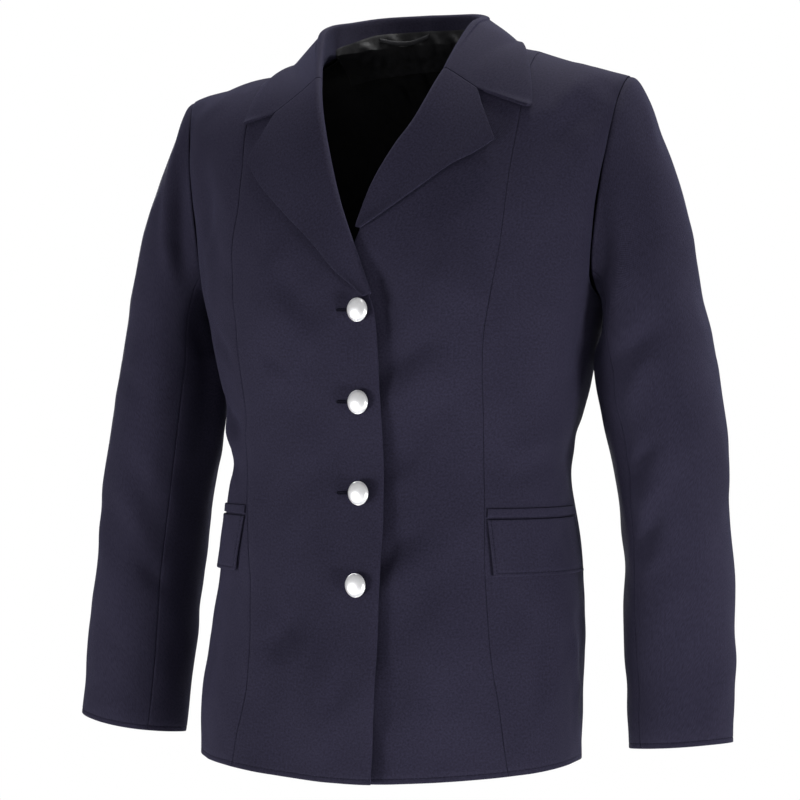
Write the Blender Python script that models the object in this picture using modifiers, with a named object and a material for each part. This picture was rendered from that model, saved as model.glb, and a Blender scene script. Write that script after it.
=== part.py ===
"""A woman's single-breasted dress uniform jacket, filled out as if worn and hollow.

Metres, +Z up, the front faces -Y and the wearer's left is +X. The origin is midway between
the two neck ends of the shoulder seams, where the wearer's shoulders hold the jacket.
Each half is described on the wearer's left, x positive, and mirrored to the right.
"""

from math import cos, pi, radians, sin

import bpy
import numpy as np

# Cloth and seams
CLOTH = 0.0018
LINING = 0.0010
SEAM_GAP = 0.0003
SLEEVE_GAP = 0.0005
GORGE_GAP = 0.00024
LAY_GAP = 0.0007

# Lengths down from the shoulder
HEM_Z = -0.6520
HEM_SIDE_RISE = 0.0110
HEM_STILL_Z = -0.5600
CHEST_Z = -0.2150
ARCH_RISE = 0.2150

# Buttons down the centre front
BUTTON_Z = (-0.2410, -0.3210, -0.4010, -0.4810)
BUTTON_X = 0.0040
BUTTON_RADIUS = 0.0105
BUTTON_DOME = 0.0048
BUTTON_RIM = 0.0013
BUTTON_STAND = 0.0034
BUTTON_TILT = 14.0
SHANK_RADIUS, SHANK_GAP = 0.0018, 0.0006

# Outline and hollow of a button, as shares of its radius and rim
DOME_WIDE, BACK_WIDE, RIM_SQUARE = 0.985, 0.970, 0.600
BACK_SINK = 0.0004

# How far the right front stands off the left one, over the overlap and at its very edge
OVERLAP_LIFT, OVERLAP_START_X, OVERLAP_FULL_X = 0.0046, 0.0580, 0.0180
EDGE_LIFT, EDGE_START_X, EDGE_FULL_X = 0.0032, 0.0140, -0.0200
LIFT_START_Z, LIFT_FULL_Z = -0.0850, -0.1650

# Bust
BUST_X, BUST_Z = 0.088, -0.245
BUST_OUT, BUST_WIDE, BUST_TALL = 0.012, 0.055, 0.070

# Body rings below the chest line: half width, and the side, front and back depths
BODY = (
    ("z", "half_width", "side_y", "front_y", "back_y"),
    (-0.665, 0.1750, -0.030, -0.150, 0.084),
    (-0.560, 0.1742, -0.026, -0.142, 0.088),
    (-0.480, 0.1682, -0.021, -0.133, 0.086),
    (-0.385, 0.1582, -0.014, -0.125, 0.078),
    (-0.335, 0.1640, -0.009, -0.126, 0.0835),
    (-0.285, 0.1755, -0.005, -0.127, 0.0915),
    (-0.235, 0.1875, 0.000, -0.126, 0.0985),
    (-0.215, 0.1915, 0.001, -0.125, 0.1003),
)

# Body rings above it, by their share of the height up to the shoulder seam
YOKE = (
    ("share", "half_width", "side_y", "front_y", "back_y"),
    (0.00, 0.1915, 0.001, -0.125, 0.1003),
    (0.30, 0.2030, 0.002, -0.122, 0.1050),
    (0.65, 0.2150, 0.002, -0.118, 0.1000),
    (1.00, 0.2260, 0.002, -0.114, 0.094),
)

# Height of the shoulder seam, carried on over the neck opening
SHOULDER = (
    ("x", "z"),
    (-0.040, 0.034),
    (0.000, 0.056),
    (0.040, 0.034),
    (0.073, 0.0045),
    (0.110, -0.0055),
    (0.160, -0.0195),
    (0.205, -0.0330),
    (0.230, -0.0410),
)

# The left shoulder is a little higher, most of all beside the collar
SHOULDER_TILT = 0.017
NECK_TILT, NECK_TILT_X, NECK_TILT_WIDE, NECK_TILT_Z = 0.0043, 0.105, 0.040, -0.060

# The hem hangs a little to the wearer's right
HEM_HANG, HANG_START_Z, HANG_HALF = 0.0080, -0.4900, 0.1750

# How square the rings and the arch over the shoulders are
FRONT_SQUARE, BACK_SQUARE = 2.5, 2.35
FRONT_ARCH, BACK_ARCH = 2.15, 2.5

# Seam from the middle of the shoulder over the bust to the hem, on either side
PRINCESS = (
    ("z", "left_x", "right_x"),
    (-0.665, 0.1388, 0.1174),
    (-0.645, 0.1357, 0.1144),
    (-0.586, 0.1280, 0.1061),
    (-0.538, 0.1188, 0.1039),
    (-0.487, 0.1130, 0.1070),
    (-0.420, 0.1090, 0.1150),
    (-0.373, 0.1080, 0.1200),
    (-0.330, 0.1085, 0.1185),
    (-0.271, 0.1115, 0.1210),
    (-0.229, 0.1174, 0.1265),
    (-0.183, 0.1234, 0.1290),
    (-0.134, 0.1266, 0.1260),
    (-0.070, 0.1309, 0.1290),
    (-0.0105, 0.1300, 0.1300),
)
SIDE_SEAM_TURN = 97.0

# Points read along a seam, closer towards the shoulder
SEAM_SAMPLES, SEAM_CROWDING = 400, 1.6

# Armhole, by height coordinate: degrees round the body from centre front
ARMHOLE = (
    ("height", "front_turn", "back_turn"),
    (-0.2370, 97.0, 97.0),
    (-0.2345, 90.5, 99.5),
    (-0.2300, 85.5, 101.6),
    (-0.2230, 81.0, 103.4),
    (-0.2130, 77.8, 104.9),
    (-0.2000, 75.8, 106.0),
    (-0.1600, 74.2, 106.8),
    (-0.1000, 74.0, 106.2),
    (-0.0200, 74.4, 104.6),
    (0.0600, 74.9, 102.6),
    (0.1227, 75.0, 101.2),
)
ROW_HEIGHTS = (
    -0.6650, -0.6350, -0.6000, -0.5600, -0.5200, -0.4800, -0.4400, -0.4050, -0.3750, -0.3450,
    -0.3150, -0.2870, -0.2610, -0.2370, -0.2345, -0.2300, -0.2230, -0.2130, -0.2000, -0.1820,
    -0.1600, -0.1350, -0.1080, -0.0800, -0.0520, -0.0240, 0.0040, 0.0320, 0.0600, 0.0850,
    0.1060, 0.1227,
)

# How far the top row stays below the shoulder seam, in seam gaps, and the least climb there
SHOULDER_SLACK, LEAST_CLIMB = 2.0, 0.3

BACK_SHARES = (0.0, 0.13, 0.26, 0.39, 0.515, 0.64, 0.76, 0.88, 1.0)

# Free edge of each front up to the gorge, then the neckline.
# x is positive on the front's own side and negative past the centre.
FRONT_EDGE = (
    ("z", "left_x", "right_x"),
    (-0.665, -0.0200, -0.0222),
    (-0.300, -0.0200, -0.0222),
    (-0.242, -0.0200, -0.0170),
    (-0.229, -0.0200, -0.0122),
    (-0.214, -0.0195, -0.0055),
    (-0.203, -0.0160, -0.0008),
    (-0.190, -0.0090, 0.0058),
    (-0.178, -0.0045, 0.0109),
    (-0.166, 0.0003, 0.0163),
    (-0.128, 0.0142, 0.0307),
    (-0.088, 0.0375, 0.0443),
    (-0.0575, 0.0539, 0.0535),
    (-0.0275, 0.0637, 0.0637),
    (-0.010, 0.0700, 0.0700),
    (0.0040, 0.0755, 0.0755),
)

# Lapels: roll line and outer edge by share of the height from the break to the gorge
RIGHT_LAPEL = (
    ("share", "roll_x", "roll_z", "edge_x", "edge_z", "radius", "return"),
    (0.00, -0.0140, -0.2270, -0.0090, -0.2300, 0.0022, 0.0010),
    (0.15, -0.0027, -0.2010, 0.0190, -0.2080, 0.0022, 0.0010),
    (0.35, 0.0118, -0.1662, 0.0432, -0.1820, 0.0027, 0.0060),
    (0.60, 0.0290, -0.1200, 0.0790, -0.1487, 0.0033, 0.0110),
    (0.80, 0.0452, -0.0720, 0.1005, -0.1275, 0.0033, 0.0110),
    (1.00, 0.0592, -0.0275, 0.1175, -0.1050, 0.0033, 0.0110),
)
LEFT_LAPEL = (
    ("share", "roll_x", "roll_z", "edge_x", "edge_z", "radius", "return"),
    (0.00, -0.0050, -0.1675, 0.0010, -0.1690, 0.0022, 0.0040),
    (0.15, 0.0000, -0.1530, 0.0194, -0.1579, 0.0026, 0.0080),
    (0.35, 0.0092, -0.1285, 0.0480, -0.1385, 0.0031, 0.0110),
    (0.60, 0.0265, -0.0965, 0.0780, -0.1165, 0.0033, 0.0110),
    (0.80, 0.0430, -0.0700, 0.0985, -0.1060, 0.0033, 0.0110),
    (1.00, 0.0592, -0.0275, 0.1135, -0.0950, 0.0033, 0.0110),
)
LEFT_NOTCH, RIGHT_NOTCH = (0.0915, -0.0480), (0.0985, -0.0600)
LEFT_COLLAR_POINT, RIGHT_COLLAR_POINT = (0.1405, -0.0675), (0.1305, -0.0700)
LEAF_CLEAR, LEAF_FALL = 0.0019, 1.6
RETURN_SHARES = (1.0, 0.5, 0.22)
LEAF_STEPS = 8
LAPEL_ROWS = 12

# Collar from centre back (0) to the gorge (1): neckline on the body, and its fold line
COLLAR = (
    ("share", "neck_x", "neck_z", "left_x", "right_x", "fold_y", "left_z", "right_z"),
    (0.00, 0.0000, 0.0130, 0.0000, 0.0000, 0.0710, 0.0430, 0.0430),
    (0.25, 0.0450, 0.0105, 0.0465, 0.0480, 0.0560, 0.0385, 0.0415),
    (0.45, 0.0680, 0.0065, 0.0655, 0.0700, 0.0300, 0.0312, 0.0365),
    (0.60, 0.0755, 0.0040, 0.0705, 0.0785, 0.0050, 0.0260, 0.0320),
    (0.75, 0.0737, -0.0010, 0.0700, 0.0775, -0.0220, 0.0180, 0.0215),
    (0.90, 0.0690, -0.0130, 0.0650, 0.0685, -0.0500, -0.0020, -0.0010),
    (1.00, 0.0637, -0.0275, 0.0592, 0.0592, -0.0720, -0.0275, -0.0275),
)
SHOULDER_SHARE = 0.60

# Outer edge of the collar at the same shares
COLLAR_EDGE = (
    ("share", "left_x", "right_x", "y", "z"),
    (0.00, 0.0000, 0.0000, 0.0785, -0.0030),
    (0.25, 0.0530, 0.0530, 0.0600, -0.0060),
    (0.45, 0.0900, 0.0860, 0.0360, -0.0060),
    (0.60, 0.1080, 0.1000, 0.0010, -0.0050),
    (0.75, 0.1205, 0.1125, -0.0240, -0.0150),
    (0.90, 0.1350, 0.1250, -0.0500, -0.0420),
    (1.00, 0.1405, 0.1305, -0.0720, -0.0685),
)
COLLAR_FOLD_RADIUS = 0.0035
STAND_INSIDE, STAND_CLEAR, STAND_FOOT = 0.0030, 0.0028, 0.0016
LEAF_HOLLOW, LEAF_EXTRA = 0.0025, 0.0012
GORGE_START = 0.72
COLLAR_COLUMNS = 14

# Sleeve axis below the armhole: centre, half width across and half depth front to back
SLEEVE = (
    ("z", "x", "y", "half_across", "half_deep"),
    (-0.285, 0.2360, 0.0050, 0.0510, 0.0620),
    (-0.355, 0.2460, 0.0040, 0.0515, 0.0590),
    (-0.395, 0.2505, 0.0035, 0.0500, 0.0560),
    (-0.456, 0.2561, -0.0010, 0.0490, 0.0530),
    (-0.500, 0.2584, -0.0080, 0.0490, 0.0505),
    (-0.553, 0.2611, -0.0143, 0.0493, 0.0468),
    (-0.590, 0.2632, -0.0195, 0.0485, 0.0440),
    (-0.620, 0.2655, -0.0246, 0.0480, 0.0410),
)

# How far each sleeve's outer side lies out from that, how much longer the sleeve hangs and
# how far its outer side is drawn up again
SLEEVE_HANG = (
    ("z", "left_out", "right_out", "left_down", "right_down", "left_up", "right_up"),
    (-0.620, -0.0035, 0.0045, 0.0045, 0.0090, 0.0050, 0.0110),
    (-0.500, -0.0018, 0.0048, 0.0025, 0.0050, 0.0025, 0.0045),
    (-0.400, -0.0022, 0.0040, 0.0010, 0.0018, 0.0005, 0.0012),
    (-0.345, -0.0008, 0.0010, 0.0002, 0.0004, 0.0000, 0.0000),
    (-0.300, -0.0010, -0.0010, 0.0000, 0.0000, 0.0000, 0.0000),
    (-0.235, -0.0045, -0.0015, 0.0000, 0.0000, 0.0000, 0.0000),
    (-0.185, -0.0008, -0.0018, 0.0000, 0.0000, 0.0000, 0.0000),
    (-0.140, 0.0000, -0.0016, 0.0000, 0.0000, 0.0000, 0.0000),
    (-0.090, 0.0000, 0.0000, 0.0000, 0.0000, 0.0000, 0.0000),
)
SLEEVE_SEAM_FRONT, SLEEVE_SEAM_BACK = 128.0, 236.0
CAP_WAYS = (0.0, 0.05, 0.12, 0.20, 0.29, 0.39, 0.50, 0.61, 0.72, 0.83, 0.92)

# How steeply the cap leaves the armhole and how far it keeps that way, at its top and its foot
CAP_RISE_TOP, CAP_RISE_FOOT = 0.24, -0.42
CAP_PULL_TOP, CAP_PULL_FOOT, CAP_PULL_ARM = 0.20, 0.52, 0.98
ARM_ROWS = 12
UPPER_BACK_STEPS, UPPER_FRONT_STEPS, UNDER_STEPS = 7, 8, 8

# Pocket flap and welt, on the side front under the waist
FLAP_TOP_Z, FLAP_HEIGHT = -0.4235, 0.0490
FLAP_SLANT, FLAP_FROM_SEAM = 0.0070, 0.0022
FLAP_END_TURN, FLAP_END_LEAN, FLAP_STAND = 92.0, 0.020, 0.0012
WELT_TOP_Z, WELT_HEIGHT, WELT_CLOTH = -0.4140, 0.0075, 0.0012

# Lining of the back
LINING_DEPTH = 0.0037
LINING_SHARE = 0.84
LINING_HEM, LINING_TOP, LINING_LAST_ROW = 0.0270, 0.0060, 0.0300

# Hanger loop on the collar's stand, its ends this share of the way up from the neck seam
LOOP_X, LOOP_HALF, LOOP_UP = 0.0235, 0.0220, 0.65
LOOP_DROP, LOOP_BOW, LOOP_WIDTH, LOOP_CLOTH, LOOP_GAP = 0.0065, 0.0030, 0.0045, 0.0010, 0.0004
LOOP_STEPS = 10


def column(rows, key, value, name):
    """The named column of a table at this value of its key, on a smooth curve through its rows."""
    names = rows[0]
    data = np.array(sorted(rows[1:], key=lambda row: row[names.index(key)]), float)
    xs = data[:, names.index(key)]
    ys = data[:, names.index(name)]
    slope = np.diff(ys) / np.diff(xs)
    at_row = np.concatenate([slope[:1], (slope[:-1] + slope[1:]) / 2, slope[-1:]])
    value = np.clip(value, xs[0], xs[-1])
    low = np.clip(np.searchsorted(xs, value, side="right") - 1, 0, len(xs) - 2)
    wide = xs[low + 1] - xs[low]
    t = (value - xs[low]) / wide
    keep = (2 * t**3 - 3 * t**2 + 1) * ys[low] + (3 * t**2 - 2 * t**3) * ys[low + 1]
    lean = (t**3 - 2 * t**2 + t) * at_row[low] + (t**3 - t**2) * at_row[low + 1]
    return keep + lean * wide


def ease(t):
    t = np.clip(t, 0, 1)
    return t * t * (3 - 2 * t)


def fade(value, start, full):
    """Smooth share from 0 at the start value to 1 at the full one."""
    return ease((value - start) / (full - start))


def unit(vectors):
    return vectors / np.linalg.norm(vectors, axis=-1, keepdims=True)


def flipped(points):
    return points * np.array((-1.0, 1.0, 1.0))


def on_side(points, side):
    """Points of the left half put on their own side, where the left shoulder is a little higher."""
    points = points * np.array((side, 1.0, 1.0))
    x, z = points[..., 0].copy(), points[..., 2].copy()
    near_neck = np.exp(-(((np.abs(x) - NECK_TILT_X) / NECK_TILT_WIDE) ** 2)) * np.sign(x)
    points[..., 2] += SHOULDER_TILT * x * fade(z, CHEST_Z, 0)
    points[..., 2] += NECK_TILT * near_neck * fade(z, NECK_TILT_Z, 0)
    return points


def on_body(points, side):
    """Points of the body put on their own side, down to the hem that hangs to one side."""
    points = on_side(points, side)
    share = fade(points[..., 2], HANG_START_Z, HEM_Z)
    points[..., 0] -= HEM_HANG * share * (points[..., 0] / HANG_HALF) ** 2
    return points


# The body's outer face


def shoulder_z(x):
    return column(SHOULDER, "x", np.abs(x), "z")


def ring_at(low, height, share, name):
    below = column(BODY, "z", np.minimum(height, CHEST_Z), name)
    above = column(YOKE, "share", share, name)
    return np.where(low, below, above)


def body_point(turn, height, bust=True):
    """Point of the body's outer face at a turn from centre front and a height coordinate.

    Below the chest line the height is z itself. Above it, it is the angle of the arch up to
    the shoulder seam, times ARCH_RISE.
    """
    turn, height = np.broadcast_arrays(np.asarray(turn, float), np.asarray(height, float))
    turn = pi - (pi - turn) % (2 * pi)
    sign = np.where(turn < 0, -1.0, 1.0)
    turn = np.abs(turn)
    front = turn <= pi / 2
    low = height < CHEST_Z
    angle = np.clip((height - CHEST_Z) / ARCH_RISE, 0, pi / 2)
    power = np.where(front, FRONT_ARCH, BACK_ARCH)
    up = np.sin(angle)
    along = np.clip(np.cos(angle), 0, 1)
    reach = (up**power + along**power) ** (-1 / power)
    share, arch = up * reach, along * reach
    half, side, front_y, back_y = (
        ring_at(low, height, share, name) for name in ("half_width", "side_y", "front_y", "back_y")
    )
    deep = np.where(front, side - front_y, back_y - side)
    square = np.where(front, FRONT_SQUARE, BACK_SQUARE)
    across, ahead = np.sin(turn), np.abs(np.cos(turn))
    reach = ((across / half) ** square + (ahead / deep) ** square) ** (-1 / square)
    x = reach * across
    depth = reach * ahead * np.where(low, 1.0, arch)
    y = side + np.where(front, -depth, depth)
    z = np.where(low, height, CHEST_Z + (shoulder_z(x) - CHEST_Z) * share)
    if bust:
        swell = np.exp(-(((x - BUST_X) / BUST_WIDE) ** 2) - ((z - BUST_Z) / BUST_TALL) ** 2)
        y = y - np.where(front, BUST_OUT * swell, 0.0)
    return np.stack([sign * x, y, z], axis=-1)


def body_place(x, z, front=True):
    """Turn and height coordinate of the body's point at this x and z, on its front or its back."""
    x, z = np.broadcast_arrays(np.asarray(x, float), np.asarray(z, float))
    sign = np.where(x < 0, -1.0, 1.0)
    x = np.abs(x)
    low = z < CHEST_Z
    power = FRONT_ARCH if front else BACK_ARCH
    share = np.clip((z - CHEST_Z) / (shoulder_z(x) - CHEST_Z), 0, 1)
    arch = (1 - share**power) ** (1 / power)
    height = np.where(low, z, CHEST_Z + ARCH_RISE * np.arctan2(share, arch))
    half, side, front_y, back_y = (
        ring_at(low, z, share, name) for name in ("half_width", "side_y", "front_y", "back_y")
    )
    deep = side - front_y if front else back_y - side
    square = FRONT_SQUARE if front else BACK_SQUARE
    flat = np.clip(1 - (x / half) ** square, 0, 1) ** (1 / square)
    turn = np.arctan2(x, deep * flat)
    return sign * (turn if front else pi - turn), height


def body_normal(turn, height, step=1e-4):
    along = body_point(turn + step, height) - body_point(turn - step, height)
    up = body_point(turn, height + step) - body_point(turn, height - step)
    return unit(np.cross(along, up))


def body_gap(points):
    """Distance of points outside the body's outer face, to first order, and the way out."""

    def level(p):
        x, y, z = np.abs(p[..., 0]), p[..., 1], p[..., 2]
        share = np.clip((z - CHEST_Z) / (shoulder_z(x) - CHEST_Z), 0, 1.3)
        low = z < CHEST_Z
        inside = np.minimum(share, 1)
        half, side, front_y, back_y = (
            ring_at(low, z, inside, name) for name in ("half_width", "side_y", "front_y", "back_y")
        )
        front = y < side
        deep = np.where(front, side - front_y, back_y - side)
        square = np.where(front, FRONT_SQUARE, BACK_SQUARE)
        power = np.where(front, FRONT_ARCH, BACK_ARCH)
        flat = np.clip(1 - (x / half) ** square, 0.001, 1) ** (1 / square)
        return ((np.abs(y - side) / (deep * flat)) ** power + share**power) ** (1 / power)

    step = 1e-4
    slopes = [
        (level(points + step * axis) - level(points - step * axis)) / (2 * step)
        for axis in np.eye(3)
    ]
    slope = np.stack(slopes, axis=-1)
    size = np.linalg.norm(slope, axis=-1)
    return (level(points) - 1) / size, slope / size[..., None]


def kept_off(points, clear):
    """Points moved out of the body until they clear its outer face."""
    for _ in range(4):
        gap, out = body_gap(points)
        points = points + out * np.clip(clear - gap, 0, 0.02)[..., None]
    return points


# Seams as turns by height


def seam_turn(rows, side, front=True):
    """A function from the height coordinate to the turn, for a seam given by x at each z."""
    names = rows[0]
    ends = [row[names.index("z")] for row in (rows[1], rows[-1])]
    t = np.linspace(0, 1, SEAM_SAMPLES)
    z = ends[0] + (ends[1] - ends[0]) * (1 - (1 - t) ** SEAM_CROWDING)
    x = column(rows, "z", z, "left_x" if side > 0 else "right_x")
    turn, height = body_place(x, z, front)
    return lambda value: np.interp(value, height, turn)


def armhole_turn(front=True):
    name = "front_turn" if front else "back_turn"
    return lambda height: np.radians(column(ARMHOLE, "height", height, name))


def side_edge(front=True):
    """Side seam up to the underarm, then the armhole."""
    curve = armhole_turn(front)
    under = ARMHOLE[1][0]
    return lambda height: np.where(height < under, radians(SIDE_SEAM_TURN), curve(height))


def hem_drop(turn, height):
    """The height coordinate with the rows near the bottom moved to the hem's curve."""
    hem = HEM_Z + HEM_SIDE_RISE * np.sin(turn) ** 2
    bottom = ROW_HEIGHTS[0]
    share = np.clip((HEM_STILL_Z - height) / (HEM_STILL_Z - bottom), 0, 1)
    return height + (hem - bottom) * share


def front_lift(side, x, z):
    """How far the right front stands off the body to lie over the left one, x on its own side."""
    if side > 0:
        return np.zeros(np.shape(x))
    overlap = fade(x, OVERLAP_START_X, OVERLAP_FULL_X) * OVERLAP_LIFT
    edge = fade(x, EDGE_START_X, EDGE_FULL_X) * EDGE_LIFT
    return (overlap + edge) * fade(z, LIFT_START_Z, LIFT_FULL_Z)


def inset(grid_turn, grid_height, gap):
    """The grid's outer rows and columns drawn in by a gap, along the body's face."""
    turn, height = grid_turn.copy(), grid_height.copy()
    step = 1e-4
    across = np.linalg.norm(
        body_point(grid_turn + step, grid_height) - body_point(grid_turn - step, grid_height),
        axis=-1,
    ) / (2 * step)
    up = np.linalg.norm(
        body_point(grid_turn, grid_height + step) - body_point(grid_turn, grid_height - step),
        axis=-1,
    ) / (2 * step)
    way = np.sign(grid_turn[:, -1] - grid_turn[:, 0])
    turn[:, 0] += way * gap / across[:, 0]
    turn[:, -1] -= way * gap / across[:, -1]
    height[-1] -= gap * SHOULDER_SLACK / np.maximum(up[-1], LEAST_CLIMB)
    return turn, height


# Solids


def place(name, points, faces, material, parent):
    """An object whose origin is at the middle of its points."""
    points = np.asarray(points, float)
    middle = (points.min(axis=0) + points.max(axis=0)) / 2
    mesh = bpy.data.meshes.new(name)
    mesh.from_pydata((points - middle).tolist(), [], faces)
    mesh.materials.append(material)
    mesh.update()
    for polygon in mesh.polygons:
        polygon.use_smooth = True
    mesh.set_sharp_from_angle(angle=radians(40))
    obj = bpy.data.objects.new(name, mesh)
    obj.location = middle
    obj.parent = parent
    COLLECTION.objects.link(obj)
    return obj


def wall(name, outer, inner, material, parent):
    """A closed wall between two grids of points, with its four rims."""
    rows, columns = outer.shape[:2]
    points = np.concatenate([outer.reshape(-1, 3), inner.reshape(-1, 3)])
    index = np.arange(rows * columns).reshape(rows, columns)
    under = index + rows * columns
    faces = []
    for i in range(rows - 1):
        for j in range(columns - 1):
            faces.append((index[i, j], index[i, j + 1], index[i + 1, j + 1], index[i + 1, j]))
            faces.append((under[i, j], under[i + 1, j], under[i + 1, j + 1], under[i, j + 1]))
    rim = np.concatenate([index[0, :-1], index[:-1, -1], index[-1, :0:-1], index[:0:-1, 0]])
    below = rim + rows * columns
    for k in range(len(rim)):
        after = (k + 1) % len(rim)
        faces.append((rim[after], rim[k], below[k], below[after]))
    faces = [tuple(int(v) for v in face) for face in faces]
    if volume_of(points, faces) < 0:
        faces = [face[::-1] for face in faces]
    return place(name, points, faces, material, parent)


def volume_of(points, faces):
    total = 0.0
    for face in faces:
        for k in range(1, len(face) - 1):
            a, b, c = points[face[0]], points[face[k]], points[face[k + 1]]
            total += np.dot(a, np.cross(b, c))
    return total / 6


def grid_normals(points):
    return unit(np.cross(np.gradient(points, axis=1), np.gradient(points, axis=0)))


def body_wall(name, side, turn, height, material, parent, lifted=False):
    """A wall on the body's face, for a grid of turns and heights of the wearer's left half."""
    turn, height = inset(turn, height, SEAM_GAP / 2)
    outer = body_point(turn, height)
    normal = body_normal(turn, height)
    if lifted:
        outer = outer + normal * front_lift(side, outer[..., 0], outer[..., 2])[..., None]
    inner = outer - normal * CLOTH
    wall(name, on_body(outer, side), on_body(inner, side), material, parent)


# Body panels


def panel_rows(steps, left, right):
    """Turns and heights of a panel between two seams, each a function of the height."""
    height = np.array(ROW_HEIGHTS)[:, None]
    share = np.linspace(0, 1, steps + 1)[None, :]
    turn = left(height) + (right(height) - left(height)) * share
    return turn, hem_drop(turn, np.broadcast_to(height, turn.shape))


def front_panel(name, side, material, parent):
    turn, height = panel_rows(7, seam_turn(FRONT_EDGE, side), seam_turn(PRINCESS, side))
    body_wall(name, side, turn, height, material, parent, lifted=True)


def side_front_panel(name, side, material, parent):
    turn, height = panel_rows(6, seam_turn(PRINCESS, side), side_edge())
    body_wall(name, side, turn, height, material, parent)


def neck_height(turn):
    """Height coordinate of the back neckline at a turn, and of the shoulder seam beyond it."""
    shares = np.linspace(0, SHOULDER_SHARE, 60)
    x = column(COLLAR, "share", shares, "neck_x")
    z = column(COLLAR, "share", shares, "neck_z")
    at_turn, height = body_place(np.maximum(x, 0), z, front=False)
    return np.interp(turn, at_turn[::-1], height[::-1])


def back_grid(rows, shares):
    """Turns and heights of the back from its centre seam (share 0) to the side and armhole."""
    height = np.asarray(rows, float)[:, None]
    turn = pi + (side_edge(front=False)(height) - pi) * np.asarray(shares)[None, :]
    top = ROW_HEIGHTS[-1]
    climb = np.clip((height - CHEST_Z) / (top - CHEST_Z), 0, 1)
    above = CHEST_Z + climb * (neck_height(turn) - CHEST_Z)
    return turn, hem_drop(turn, np.where(height < CHEST_Z, height, above))


def back_panel(name, side, material, parent):
    turn, height = back_grid(ROW_HEIGHTS, BACK_SHARES)
    body_wall(name, side, turn, height, material, parent)


def back_lining(name, material, parent):
    """One wall inside both backs, from above the hem to below the collar stand."""
    top = ROW_HEIGHTS[-1]
    low = [row for row in ROW_HEIGHTS if HEM_Z + LINING_HEM < row < CHEST_Z]
    high = [row for row in ROW_HEIGHTS if CHEST_Z <= row < top - LINING_LAST_ROW][::2]
    rows = np.array([HEM_Z + LINING_HEM, *low, *high, top - LINING_TOP])[:, None]
    shares = np.array(BACK_SHARES[:3] + BACK_SHARES[4:7] + (LINING_SHARE,))
    turn, height = back_grid(rows[:, 0], shares)
    height = np.where(rows < HEM_STILL_Z, rows, height)
    face = body_point(turn, height)
    normal = body_normal(turn, height)
    normal[:, 0, 0] = 0
    outer = face - normal * LINING_DEPTH
    inner = outer - normal * LINING
    outer, inner = (
        on_body(np.concatenate([flipped(half[:, :0:-1]), half], axis=1), 1)
        for half in (outer, inner)
    )
    wall(name, outer, inner, material, parent)


# Collar and lapels


def over_body(side, x, z, offset):
    """Points over the front at x and z of the wearer's left half, by their height off its face."""
    turn, height = body_place(x, z)
    rise = offset + front_lift(side, x, z)
    return body_point(turn, height) + body_normal(turn, height) * rise[..., None]


def roll_section(roll, toward, radius, inward):
    """Distances from the roll line and heights off the face, round a fold: return, then roll."""
    middle = -CLOTH / 2
    bend = np.radians(np.linspace(-90, 90, 5))
    back = radius + inward * np.array(RETURN_SHARES)
    distance = np.concatenate([back, radius - radius * np.cos(bend)])
    offset = np.concatenate([0 * back + middle - radius, middle + radius * np.sin(bend)])
    spots = roll[None, :] + toward[None, :] * distance[:, None]
    return spots, offset


def gorge_leaf(side, corner):
    """The leaf's row along the gorge seam to the notch, then along the free edge to a corner."""
    roll = np.array((RIGHT_LAPEL[-1][1], RIGHT_LAPEL[-1][2]))
    notch = np.array(LEFT_NOTCH if side > 0 else RIGHT_NOTCH)
    corner = np.array(corner)
    radius = RIGHT_LAPEL[-1][5]
    toward = unit(notch - roll)
    start = roll + toward * radius
    half = LEAF_STEPS // 2
    first = start + (notch - start) * (np.arange(1, half + 1) / half)[:, None]
    second = notch + (corner - notch) * (np.arange(1, half + 1) / half)[:, None]
    return roll, toward, radius, np.concatenate([first, second])


def leaf_offset(radius, share):
    raised = -CLOTH / 2 + radius
    return raised + (LEAF_CLEAR - raised) * ease(share * LEAF_FALL)


def lapel(name, side, material, parent):
    rows_of = LEFT_LAPEL if side > 0 else RIGHT_LAPEL
    top_roll, top_toward, _, top_leaf = gorge_leaf(side, rows_of[-1][3:5])
    share = np.arange(1, LEAF_STEPS + 1) / LEAF_STEPS
    straight = top_roll + top_toward * rows_of[-1][5]
    bend = top_leaf - (straight + (top_leaf[-1] - straight) * share[:, None])
    grid = []
    for t in np.linspace(0, 1, LAPEL_ROWS + 1):
        roll_x, roll_z, edge_x, edge_z, radius, inward = (
            float(column(rows_of, "share", t, key)) for key in rows_of[0][1:]
        )
        roll, edge = np.array((roll_x, roll_z)), np.array((edge_x, edge_z))
        to_edge = unit(edge - roll)
        toward = unit(to_edge + (top_toward - to_edge) * ease(2 * t - 1))
        spots, offset = roll_section(roll, toward, radius, inward)
        start = roll + toward * radius
        leaf = start + (edge - start) * share[:, None] + bend * t**3
        spots = np.concatenate([spots, leaf])
        offset = np.concatenate([offset, leaf_offset(radius, share)])
        grid.append(over_body(side, spots[:, 0], spots[:, 1], offset))
    middle = np.array(grid)
    normal = grid_normals(middle)
    across, normal[-1] = gorge_frame(middle[-1])
    middle[-1] -= across * GORGE_GAP
    cloth_wall(name, side, middle, normal, material, parent)


def gorge_frame(row):
    """The way across the gorge seam, from lapel to collar, and the row's normals."""
    roll, notch = row[5], row[7 + LEAF_STEPS // 2]
    along = unit(notch - roll)
    turn, height = body_place(RIGHT_LAPEL[-1][1], RIGHT_LAPEL[-1][2])
    face = body_normal(turn, height)
    across = unit(np.cross(face, along))
    normal = unit(np.cross(np.gradient(row, axis=0), across))
    return across, normal


def cloth_wall(name, side, middle, normal, material, parent, cloth=CLOTH):
    outer = on_side(middle + normal * cloth / 2, side)
    inner = on_side(middle - normal * cloth / 2, side)
    wall(name, outer, inner, material, parent)


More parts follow.
